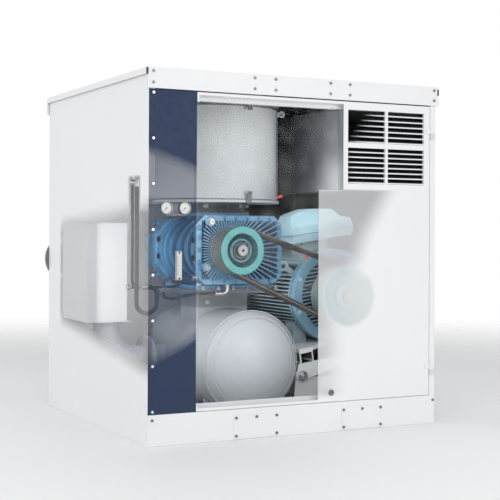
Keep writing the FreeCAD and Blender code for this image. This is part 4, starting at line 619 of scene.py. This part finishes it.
def dress_machine():
    make_cover_finish()
    make_shield_finish()
    make_housing_finish()
    make_pulley_finish("blower_pulley", drive_shaft, 0.078, 0.088, (0.060, 0.165, 0.185))
    make_pulley_finish("motor_pulley", motor_shaft, 0.100, 0.120, (0.200, 0.380, 0.390))
    make_screw_finish()
    make_swing_base_finish()
    make_tank_finish()
    make_canister_finish()
    dress(casting("blower_blue", (0.095, 0.255, 0.420)), "blower_casing", "blower_end_plates")
    dress(casting("gear_cover_blue", (0.13, 0.32, 0.49)), "gear_cover")
    dress(casting("terminal_blue", (0.36, 0.54, 0.61), edge=0.0008), "terminal_box")
    dress(casting("cowl_grey", (0.13, 0.20, 0.24)), "fan_cowl")
    steel = (0.36, 0.365, 0.375)
    dress(turned_metal("drive_shaft_steel", steel, drive_shaft), "drive_rotor", "drive_gear")
    dress(turned_metal("bush_steel", (0.10, 0.13, 0.14), drive_shaft, 0.45), "blower_bush")
    dress(turned_metal("idler_shaft_steel", steel, idler_shaft), "idler_rotor", "idler_gear")
    dress(turned_metal("motor_shaft_steel", steel, motor_shaft), "motor_rotor")
    dress(plain_steel("bearing_steel", (0.58, 0.58, 0.60)), "rotor_bearings")
    dress(plain_steel("lamination", (0.14, 0.14, 0.15), 0.5), "stator_core")
    dress(plain_steel("plated_steel", (0.68, 0.69, 0.70), 0.28), "tension_jack", "tension_spring",
          "fittings")
    dress(plain_steel("gauge_case", (0.30, 0.31, 0.32)), "gauge_cases")
    dress(rubber("fan_plastic", (0.02, 0.02, 0.022), 0.5), "motor_fan")
    dress(rubber("hose_rubber", (0.050, 0.052, 0.055), 0.45), "hoses")
    dress(rubber("filter_paper", (0.62, 0.58, 0.45), 0.8), "filter_cartridge")
    dress(rubber("needle_brown", (0.10, 0.045, 0.02), 0.4), "gauge_needle_left",
          "gauge_needle_right")
    dress(powder_coat("hinge_white", (0.72, 0.725, 0.735), 0.4), "door_hinges")
    dress(powder_coat("latch_grey", (0.15, 0.155, 0.16), 0.4), "door_latch")
    dress(powder_coat("clip_grey", (0.13, 0.135, 0.14), 0.4, edge=0.0), "lid_clip", "base_clip")
    dress(powder_coat("bracket_grey", (0.60, 0.61, 0.61)), "hinge_brackets")
    dress(powder_coat("pipe_grey", (0.36, 0.38, 0.40), 0.34, gloss_spread=0.03, edge=0.0), "outlet_pipe")
    dress(powder_coat("box_grey", (0.62, 0.63, 0.64), 0.4), "outlet_box")
    dress(powder_coat("manifold_grey", (0.060, 0.075, 0.090), 0.45), "inlet_manifold")
    dress(powder_coat("sight_white", (0.80, 0.80, 0.79), 0.35, edge=0.0), "oil_level_gauge")


def nothing_selected():
    if bpy.context.object is not None and bpy.context.object.mode != "OBJECT":
        bpy.ops.object.mode_set(mode="OBJECT")
    bpy.ops.object.select_all(action="DESELECT")


def only(piece):
    """This piece alone selected, in object mode."""
    nothing_selected()
    piece.select_set(True)
    bpy.context.view_layer.objects.active = piece


def open_for_edit(piece):
    """This piece alone selected, in edit mode, with all of its faces selected."""
    only(piece)
    bpy.ops.object.mode_set(mode="EDIT")
    bpy.ops.mesh.select_mode(type="FACE")
    bpy.ops.mesh.select_all(action="SELECT")


def pick_top(piece):
    """Selects only the faces that look up."""
    bpy.ops.mesh.select_all(action="DESELECT")
    mesh = bmesh.from_edit_mesh(piece.data)
    for face in mesh.faces:
        face.select_set(face.normal.z > 0.9)
    bmesh.update_edit_mesh(piece.data)


def turned(sides, radius, height, steps):
    """A stepped turned piece on +Z: a disc, then (rise, radius) after (rise, radius) from its top face."""
    nothing_selected()
    bpy.ops.mesh.primitive_cylinder_add(vertices=sides, radius=radius, depth=height)
    piece = bpy.context.object
    open_for_edit(piece)
    bpy.ops.transform.translate(value=(0.0, 0.0, height / 2))
    pick_top(piece)
    for rise, after in steps:
        bpy.ops.mesh.extrude_region_move(TRANSFORM_OT_translate={"value": (0.0, 0.0, rise)})
        factor = after / radius
        bpy.ops.transform.resize(value=(factor, factor, 1.0), center_override=origin)
        radius = after
    nothing_selected()
    return piece


def hex_bolt(size):
    """Hexagon head of a bolt of this thread size, chamfered, on its washer."""
    across = size * 0.92
    head = turned(6, across, size * 0.10, [(size * 0.55, across), (size * 0.10, across * 0.86)])
    washer = turned(16, size * 1.12, size * 0.16, [(size * 0.04, size * 1.04)])
    return joined(placed(head, Matrix.Translation((0.0, 0.0, size * 0.18))), washer)


def block(size, place, bevel=0.0):
    """A cuboid of this size around a place, its edges bevelled where a bevel is given."""
    nothing_selected()
    bpy.ops.mesh.primitive_cube_add(size=1.0)
    piece = bpy.context.object
    open_for_edit(piece)
    bpy.ops.transform.resize(value=size, center_override=origin)
    only(piece)
    if bevel:
        edges = piece.modifiers.new("edges", "BEVEL")
        edges.width = bevel
        edges.segments = 2
        edges.limit_method = "ANGLE"
        edges.angle_limit = math.radians(35.0)
        bpy.ops.object.modifier_apply(modifier=edges.name)
    return placed(piece, Matrix.Translation(place))


def joined(*pieces):
    nothing_selected()
    for piece in pieces:
        piece.select_set(True)
    bpy.context.view_layer.objects.active = pieces[0]
    if len(pieces) > 1:
        bpy.ops.object.join()
    return bpy.context.object


def placed(piece, matrix):
    """The piece with its mesh moved by a matrix."""
    piece.data.transform(matrix)
    return piece


def toward(place, way, spin=0.0):
    """Matrix that stands a piece's +Z along a way at a place."""
    turn = Vector(way).normalized().to_track_quat("Z", "Y").to_matrix().to_4x4()
    return Matrix.Translation(place) @ turn @ Matrix.Rotation(spin, 4, "Z")


def repeated(master, places):
    """Copies of a master, each with its own mesh, joined; the master itself goes."""
    copies = []
    for place in places:
        copy = master.copy()
        copy.data = master.data.copy()
        scene.collection.objects.link(copy)
        copies.append(placed(copy, place))
    bpy.data.objects.remove(master, do_unlink=True)
    return joined(*copies)


def finished(piece, name, finish, body="root", smooth=35.0):
    """Names, smooths and paints a piece and lets it ride."""
    only(piece)
    bpy.ops.object.transform_apply(location=True, rotation=True, scale=True)
    piece.name = name
    piece.data.name = name
    piece.data.materials.clear()
    piece.data.materials.append(finish.material)
    bpy.ops.object.shade_smooth_by_angle(angle=math.radians(smooth))
    if body:
        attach(piece, body)
    return piece


def bolts(size, places, name, finish, body="root"):
    finished(repeated(hex_bolt(size), places), name, finish, body)


def ring_bar(radius, thickness, place, segments=48):
    """A round bar bent to a ring about an axis along Y, from a curve that is made a mesh."""
    nothing_selected()
    line = bpy.data.curves.new("bar", "CURVE")
    line.dimensions = "3D"
    line.bevel_depth = thickness
    line.bevel_resolution = 1
    spline = line.splines.new("POLY")
    spline.points.add(segments - 1)
    spline.use_cyclic_u = True
    ring = toward(place, rearward)
    for k, point in enumerate(spline.points):
        angle = 2 * math.pi * k / segments
        corner = ring @ Vector((radius * math.cos(angle), radius * math.sin(angle), 0.0))
        point.co = (*corner, 1.0)
    piece = bpy.data.objects.new("bar", line)
    scene.collection.objects.link(piece)
    only(piece)
    bpy.ops.object.convert(target="MESH")
    return bpy.context.object


def belt_outline():
    """Middle line of the belts round both pulleys, with the direction that points out of the loop."""
    start = Vector((drive_shaft.x, drive_shaft.z))
    end = Vector((motor_shaft.x, motor_shaft.z))
    growth = motor_pulley_radius - blower_pulley_radius
    line = math.atan2(end.y - start.y, end.x - start.x)
    lean = math.asin(growth / (end - start).length)
    up = line + math.pi / 2 + lean
    down = line - math.pi / 2 - lean
    arc_steps = 28
    straight_steps = 14
    around = [k / arc_steps for k in range(arc_steps + 1)]
    along = [k / straight_steps for k in range(1, straight_steps)]
    # share of the way from the blower's shaft to the motor's, and the angle of the way out
    loop = [(0.0, up + (down + 2 * math.pi - up) * k) for k in around]
    loop += [(k, down) for k in along]
    loop += [(1.0, down + (up - down) * k) for k in around]
    loop += [(1.0 - k, up) for k in along]
    places = []
    for share, angle in loop:
        way = Vector((math.cos(angle), math.sin(angle)))
        places.append((start.lerp(end, share) + way * (blower_pulley_radius + growth * share), way))
    return places


def make_belts():
    """Five raw-edged V-belts."""
    raw = (0.045, 0.036, 0.032)
    f = rubber("belt_rubber", raw, 0.5, dusty=False)
    across = f.math("FRACT", f.times(f.minus(f.axis("Y"), belt_front), 1.0 / belt_pitch))
    middle = f.math("ABSOLUTE", f.minus(across, 0.5))
    dust = f.times(f.span(middle, 0.36, 0.42), f.span(f.noise(60.0), 0.3, 0.7, 0.4, 1.0))
    f.drive("Base Color", f.mix(dust, raw, (0.34, 0.31, 0.29)))
    half_top = 0.0081
    half_low = 0.0034
    crown = 0.0030
    foot = -0.0100
    chamfer_side = 0.0014
    chamfer_drop = 0.0012
    section = [(-half_top, crown - chamfer_drop), (-half_top + chamfer_side, crown),
               (half_top - chamfer_side, crown), (half_top, crown - chamfer_drop),
               (half_low, foot), (-half_low, foot)]
    loop = belt_outline()
    total = len(loop)
    count = len(section)
    faces = []
    for i in range(total):
        here = i * count
        ahead = ((i + 1) % total) * count
        for j in range(count):
            beside = (j + 1) % count
            faces.append((here + j, here + beside, ahead + beside, ahead + j))
    belts = []
    for k in range(belt_count):
        y = belt_front + belt_pitch * (k + 0.5)
        points = [(place.x + way.x * out, y + side, place.y + way.y * out)
                  for place, way in loop for side, out in section]
        nothing_selected()
        bpy.ops.mesh.primitive_plane_add(size=1.0)
        piece = bpy.context.object
        piece.data.clear_geometry()
        piece.data.from_pydata(points, [], faces)
        piece.data.update()
        open_for_edit(piece)
        bpy.ops.mesh.normals_make_consistent(inside=False)
        belts.append(piece)
    belt_set = finished(joined(*belts), "v_belts", f, body=None, smooth=25.0)
    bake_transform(belt_set)
    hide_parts("drive_belts")


def make_blower_details(zinc, dull, black, blue, deep_blue):
    rim = []
    for x in (-0.205, -0.150, -0.095, -0.040, 0.015, 0.070):
        rim += [(x, 0.890), (x, 0.614)]
    for z in (0.655, 0.700, 0.752, 0.804, 0.850):
        rim += [(0.115, z), (-0.276, z)]
    places = [toward((x, cover_face, z), forward, 0.3 * k) for k, (x, z) in enumerate(rim)]
    bolts(0.010, places, "cover_bolts", blue)
    # the two oil plugs stand on their bosses
    plug = turned(20, 0.0155, 0.004, [(0.0, 0.0125), (0.009, 0.0125), (0.0015, 0.0108), (0.0, 0.0060),
                                      (-0.007, 0.0057)])
    places = [toward((x, -0.2505, z), forward) for x, z in ((-0.233, 0.874), (-0.250, 0.681))]
    finished(repeated(plug, places), "oil_plugs", zinc)
    # bolts of the two end plates on the left side, and the dark sockets between them
    plates = (-0.192, 0.192)
    socket = turned(20, 0.0135, 0.003, [(0.0, 0.0085), (-0.0025, 0.0082)])
    places = [toward((casing_left, y, z), leftward) for y in plates for z in (0.7178, 0.796)]
    finished(repeated(socket, places), "side_plugs", black)
    places = [toward((casing_left, y, z), leftward, 0.4) for y in plates
              for z in (0.632, 0.675, 0.838, 0.872)]
    bolts(0.008, places, "side_bolts", deep_blue)
    # studs with nuts that hold the feet on the deck
    stud = turned(6, 0.0110, 0.0015, [(0.007, 0.0110), (0.0015, 0.0098), (0.0, 0.0060), (0.008, 0.0057)])
    places = [toward((x, y, deck_level), upward, 0.2)
              for x in (-0.252, -0.182, -0.112, -0.042, 0.028, 0.098) for y in (-0.222, 0.222)]
    finished(repeated(stud, places), "deck_studs", dull)
    # gear cover bolts at the rear
    rim = [(x, z) for x in (-0.255, -0.170, -0.080, 0.010, 0.095) for z in (0.628, 0.876)]
    rim += [(x, z) for x in (-0.286, 0.126) for z in (0.690, 0.752, 0.814)]
    bolts(0.010, [toward((x, 0.3245, z), rearward) for x, z in rim], "gear_cover_bolts", blue)
    # manifold flange bolts, front and rear
    places = [toward((x, -0.085, 0.9465), forward, 0.3) for x in (-0.186, -0.176, -0.006, 0.024)]
    places += [toward((x, 0.155, 0.9465), rearward, 0.1) for x in (-0.186, -0.006, 0.024)]
    bolts(0.008, places, "manifold_bolts", dull)


def make_pulley_details(worn, dark):
    """Shaft ends with their centre holes shown as black discs of painted shade, and the screws of the blower
    pulley's bush.
    """
    for name, shaft, body in (("blower_shaft_end", drive_shaft, "drive_rotor"),
                              ("motor_shaft_end", motor_shaft, "motor_rotor")):
        end = turned(32, 0.0205, 0.0012, [(0.0008, 0.0195), (0.0, 0.0105), (-0.0008, 0.0098),
                                          (0.0, 0.0060), (-0.0010, 0.0052)])
        finished(placed(end, toward((shaft.x, shaft_end, shaft.z), forward)), name, worn,
                 body)
        # painted shade: a black disc stands in for the dark of the centre hole
        hole = turned(20, 0.0062, 0.0010, [(0.0004, 0.0048)])
        finished(placed(hole, toward((shaft.x, shaft_end - 0.0002, shaft.z), forward)), name + "_centre",
                 dark, body)
    screw = turned(14, 0.0052, 0.003, [(0.0, 0.0030), (-0.002, 0.0028)])
    circle = 0.0375
    places = []
    for k in range(3):
        angle = math.radians(120.0 * k - 40.0)
        places.append(toward((drive_shaft.x + circle * math.cos(angle), -0.3580,
                              drive_shaft.z - circle * math.sin(angle)), forward))
    finished(repeated(screw, places), "bush_screws", dark, "drive_rotor")


def make_motor_details(zinc, blue, dark, red):
    # bolts of the front shield
    circle = 0.192
    places = []
    for k in range(8):
        angle = math.radians(22.5 + 45.0 * k)
        x = motor_shaft.x + circle * math.cos(angle)
        z = motor_shaft.z + circle * math.sin(angle)
        places.append(toward((x, -0.2455, z), forward, 0.5 * k))
    bolts(0.010, places, "shield_bolts", blue, "motor_base")
    # dark seam under the lid of the terminal box
    seam = block((0.3320, 0.1540, 0.0022), (0.4315, -0.0735, 0.8330))
    finished(placed(seam, motor_lean), "terminal_seam", dark, "motor_base")
    # horizontal ribs that show inside the front ring
    ring_radius = 0.1650
    hub_radius = 0.0960
    shortest = 0.012
    ribs = []
    for k in range(-9, 10):
        level = 0.0165 * k
        outer = math.sqrt(ring_radius ** 2 - level ** 2)
        inner = math.sqrt(max(0.0, hub_radius ** 2 - level ** 2))
        if outer - inner < shortest:
            continue
        for side in (-1, 1):
            middle = side * (outer + inner) / 2
            ribs.append(block((outer - inner, 0.024, 0.0048),
                              (motor_shaft.x + middle, -0.2250, motor_shaft.z + level), 0.0012))
    finished(placed(joined(*ribs), motor_lean), "shield_ribs", blue, "motor_base")
    # bolts of the terminal box's neck
    lean_turn = motor_lean.to_3x3()
    down = lean_turn @ Vector((0.0, 0.0, -1.0))
    places = [toward(motor_lean @ Vector((x, y, 0.7935)), down)
              for x in (0.325, 0.455) for y in (-0.128, -0.018)]
    bolts(0.008, places, "neck_bolts", zinc, "motor_base")
    # red cap of the grease nipple
    cap = turned(12, 0.0050, 0.006, [(0.001, 0.0080), (0.008, 0.0080), (0.003, 0.0055)])
    way = lean_turn @ Vector((-0.35, 0.0, 0.94))
    finished(placed(cap, toward((0.262, -0.222, 0.708), way)), "grease_cap", red,
             "motor_base")
    # foot bolts through the plates
    up = lean_turn @ Vector(upward)
    places = [toward(motor_lean @ Vector((x, y, 0.3655)), up, 0.3)
              for x in (0.240, 0.540) for y in (-0.145, 0.185)]
    bolts(0.016, places, "foot_bolts", zinc, "motor_base")


def make_band_seals(black):
    """Rubber seals at the ends of the front roof band."""
    seals = [block((0.006, 0.010, 0.026), place, 0.0008)
             for place in ((-0.6865, -0.6285, 1.4500), (0.6815, -0.6285, 1.4430))]
    finished(joined(*seals), "band_seals", black)


def make_pivot_details(zinc):
    """Nut on the front pivot of the swinging base."""
    stub = turned(16, 0.0085, 0.020, [(0.0015, 0.0070)])
    nut = placed(joined(hex_bolt(0.020), stub), toward((0.190, -0.311, 0.197), forward, 0.25))
    finished(nut, "pivot_nut", zinc)


def make_tank_details(dull, grey):
    # weld beads between the heads and the shell, and the plug on the neck
    beads = [ring_bar(radius, thickness, (tank_axis.x, y, tank_axis.z), 96)
             for radius, thickness, y in ((0.2250, 0.0022, -0.296), (0.2250, 0.0022, 0.356),
                                          (0.1995, 0.0016, -0.3285))]
    finished(joined(*beads), "tank_welds", grey)
    plug = turned(6, 0.0105, 0.0015, [(0.010, 0.0105), (0.0015, 0.0090)])
    finished(placed(plug, toward((-0.1960, -0.140, 0.522), (-0.35, -0.94, 0.0))), "neck_plug", dull)


def make_canister_details(dark, red, grey):
    up = Vector(upward)
    angle = math.atan2(-0.607, 0.7946)
    out = Vector((math.cos(angle), math.sin(angle), 0.0))
    side = Vector((-out.y, out.x, 0.0))
    length = 0.430
    middle = up * 1.185
    # the vertical seam with its folded edge, and the dark joint beside it
    turn = Matrix((side, out, up)).transposed().to_4x4()
    seam = block((0.016, 0.0035, length), origin, 0.0010)
    place = canister_axis + out * canister_radius + middle
    finished(placed(seam, Matrix.Translation(place) @ turn), "canister_seam", grey)
    joint = block((0.0030, 0.0030, length), origin, 0.0006)
    place = canister_axis + out * (canister_radius + 0.0006) - side * 0.0105 + middle
    finished(placed(joint, Matrix.Translation(place) @ turn), "canister_joint", dark)
    # lifting bracket with its eye, and a red tag on the lower edge
    way = Matrix((out, up, -side)).transposed().to_4x4()
    eye = turned(20, 0.0150, 0.006, [(0.0, 0.0075), (-0.006, 0.0072)])
    web = block((0.020, 0.022, 0.006), (0.0, 0.0, 0.003), 0.0008)
    bracket = joined(placed(eye, Matrix.Translation((0.018, 0.0, 0.0))), web)
    place = canister_axis + out * (canister_radius + 0.004) + up * 1.362
    finished(placed(bracket, Matrix.Translation(place) @ way), "canister_eye", grey)
    tag = block((0.030, 0.010, 0.004), (0.014, 0.0, 0.0), 0.0010)
    place = canister_axis + out * (canister_radius + 0.0005) + up * 0.986
    finished(placed(tag, Matrix.Translation(place) @ way @ Matrix.Rotation(0.35, 4, "Z")),
             "canister_tag", red)


def make_gauge_dials(face, ink):
    """Two dials with long and short marks, each in a dark rim."""
    for name, x in (("left", -0.601), ("right", -0.523)):
        centre = (x, dial_front, dial_level)
        dial = turned(40, 0.0212, 0.0005, [(0.0002, 0.0208)])
        finished(placed(dial, toward((x, dial_front + 0.0005, dial_level), forward)), "dial_" + name, face)
        marks = []
        for k in range(28):
            width, length = (0.0009, 0.0042) if k % 3 == 0 else (0.0005, 0.0024)
            mark = block((width, 0.00012, length), (0.0, 0.0, 0.0186 - length / 2))
            turn = Matrix.Rotation(math.radians(-135.0 + 10.0 * k), 4, "Y")
            marks.append(placed(mark, Matrix.Translation(centre) @ turn))
        finished(joined(*marks), "dial_marks_" + name, ink)
        finished(ring_bar(0.0226, 0.0014, centre), "dial_rim_" + name, ink)


def make_sight_details(dark):
    """Level marks beside the sight tube, its dark outline and the two screws of its body."""
    marks = []
    for k in range(9):
        length = 0.0085 if k % 4 == 0 else 0.0055
        marks.append(block((length, 0.0004, 0.0016), (-0.5580 + length / 2, -0.6272, 0.664 + 0.0086 * k)))
    for x in (-0.5602, -0.5368):
        marks.append(block((0.0016, 0.0006, 0.1120), (x, sight_front, 0.699)))
    for z in (0.6435, 0.7545):
        marks.append(block((0.0240, 0.0006, 0.0016), (sight_middle, sight_front, z)))
    finished(joined(*marks), "sight_marks", dark)
    screw = turned(16, 0.0042, 0.0006, [(0.0010, 0.0034), (0.0, 0.0014), (-0.0008, 0.0013)])
    places = [toward((sight_middle, sight_front - 0.0003, z), forward) for z in (0.6495, 0.7485)]
    finished(repeated(screw, places), "sight_screws", dark)


def make_details():
    zinc = plain_steel("zinc_steel", (0.66, 0.67, 0.68), 0.32)
    dull = plain_steel("dull_steel", (0.40, 0.41, 0.42), 0.42)
    dark = rubber("black_plastic_parts", (0.022, 0.023, 0.025), 0.45)
    # black for the seals, screws and sockets, and painted shade for the centre holes
    black = rubber("black_parts_and_painted_shade", (0.012, 0.014, 0.018), 0.5)
    red = rubber("red_cap", (0.55, 0.05, 0.05), 0.4)
    blue = casting("bolt_blue", (0.12, 0.30, 0.48))
    deep_blue = casting("side_bolt_blue", (0.075, 0.21, 0.35))
    motor_paint = casting("motor_bolt_blue", (0.24, 0.44, 0.58))
    grey = powder_coat("weld_grey", (0.52, 0.54, 0.565), 0.30, edge=0.0)
    canister_paint = powder_coat("seam_grey", (0.55, 0.57, 0.585), 0.30)
    face = powder_coat("dial_white", (0.82, 0.82, 0.80), 0.5, edge=0.0)
    worn = powder_coat("worn_steel", (0.34, 0.345, 0.35), 0.4, edge=0.0)
    make_belts()
    make_blower_details(zinc, dull, black, blue, deep_blue)
    make_pulley_details(worn, black)
    make_motor_details(zinc, motor_paint, dark, red)
    make_duct_flange()
    make_band_seals(black)
    make_pivot_details(zinc)
    make_tank_details(dull, grey)
    make_canister_details(dark, red, canister_paint)
    make_gauge_dials(face, dark)
    make_sight_details(dark)


def area_light(name, place, aim, size, power):
    data = bpy.data.lights.new(name, "AREA")
    data.shape = "RECTANGLE"
    data.size, data.size_y = size
    data.energy = power
    lamp = bpy.data.objects.new(name, data)
    scene.collection.objects.link(lamp)
    lamp.location = place
    lamp.rotation_euler = (Vector(aim) - Vector(place)).to_track_quat("-Z", "Y").to_euler()
    return lamp


def make_studio():
    world = bpy.data.worlds.new("studio")
    scene.world = world
    world.use_nodes = True
    tree = world.node_tree
    tree.nodes.clear()
    path = tree.nodes.new("ShaderNodeLightPath")
    seen = path.outputs["Is Camera Ray"]
    for ray in ("Is Glossy Ray", "Is Transmission Ray"):
        more = tree.nodes.new("ShaderNodeMath")
        more.operation = "MAXIMUM"
        tree.links.new(seen, more.inputs[0])
        tree.links.new(path.outputs[ray], more.inputs[1])
        seen = more.outputs[0]
    shown = tree.nodes.new("ShaderNodeBackground")
    shown.inputs["Color"].default_value = (1.0, 1.0, 1.0, 1.0)
    soft = tree.nodes.new("ShaderNodeBackground")
    soft.inputs["Color"].default_value = (0.97, 0.985, 1.0, 1.0)
    soft.inputs["Strength"].default_value = 0.5
    blend = tree.nodes.new("ShaderNodeMixShader")
    for socket, value in zip(blend.inputs, (seen, soft.outputs[0], shown.outputs[0])):
        tree.links.new(value, socket)
    end = tree.nodes.new("ShaderNodeOutputWorld")
    tree.links.new(blend.outputs[0], end.inputs["Surface"])

    nothing_selected()
    bpy.ops.mesh.primitive_circle_add(vertices=64, radius=9.0, fill_type="NGON",
                                      location=(0.0, 0.0, -0.0005))
    floor = bpy.context.object
    floor.name = "studio_floor"
    f = Finish("studio_floor", (0.90, 0.90, 0.90), 0.6)
    reach = f.node("ShaderNodeVectorMath", operation="LENGTH")
    f.feed(reach.inputs[0], f.place)
    f.drive("Alpha", f.span(reach.outputs["Value"], 2.2, 6.5, 1.0, 0.0))
    floor.data.materials.append(f.material)

    area_light("key_light", (-2.6, -4.2, 3.2), (0.0, 0.0, 0.6), (3.0, 2.4), 62.0)
    area_light("front_light", (1.4, -4.6, 1.4), (0.1, 0.0, 0.6), (2.6, 2.2), 42.0)
    area_light("side_light", (-4.6, 0.6, 1.8), (0.0, 0.0, 0.6), (2.4, 2.4), 42.0)
    area_light("top_light", (0.3, 0.2, 4.6), (0.0, 0.0, 0.0), (3.0, 3.0), 40.0)
    # unseen lamps inside the enclosure, where the studio lamps hardly reach
    for name, place, aim, size, power in (
            ("front", (0.0, -0.575, 0.74), (0.0, 0.4, 0.74), (1.18, 1.10), 2.4),
            ("left", (-0.635, -0.24, 0.66), (0.2, -0.24, 0.66), (0.60, 0.85), 2.2),
            ("rear", (-0.385, 0.08, 0.82), (-0.385, 0.60, 0.82), (0.15, 0.70), 1.4),
            ("middle", (0.146, -0.10, 0.72), (0.60, -0.10, 0.72), (0.45, 0.55), 0.75),
            ("pulley", (0.33, -0.570, 0.56), (0.36, -0.30, 0.55), (0.24, 0.26), 0.22),
            ("window", (0.02, -0.572, 1.28), (0.02, -0.20, 1.28), (0.34, 0.12), 0.16),
            ("right", (0.196, -0.36, 1.20), (-0.20, -0.36, 1.20), (0.26, 0.30), 0.30),
            ("top", (0.40, -0.25, 0.995), (0.40, -0.25, 0.30), (0.40, 0.50), 1.0)):
        lamp = area_light("inside_" + name, place, aim, size, power)
        lamp.visible_camera = False
        lamp.visible_glossy = False


scene.view_settings.view_transform = "Standard"
make_camera()
make_studio()
dress_enclosure()
dress_machine()
make_details()
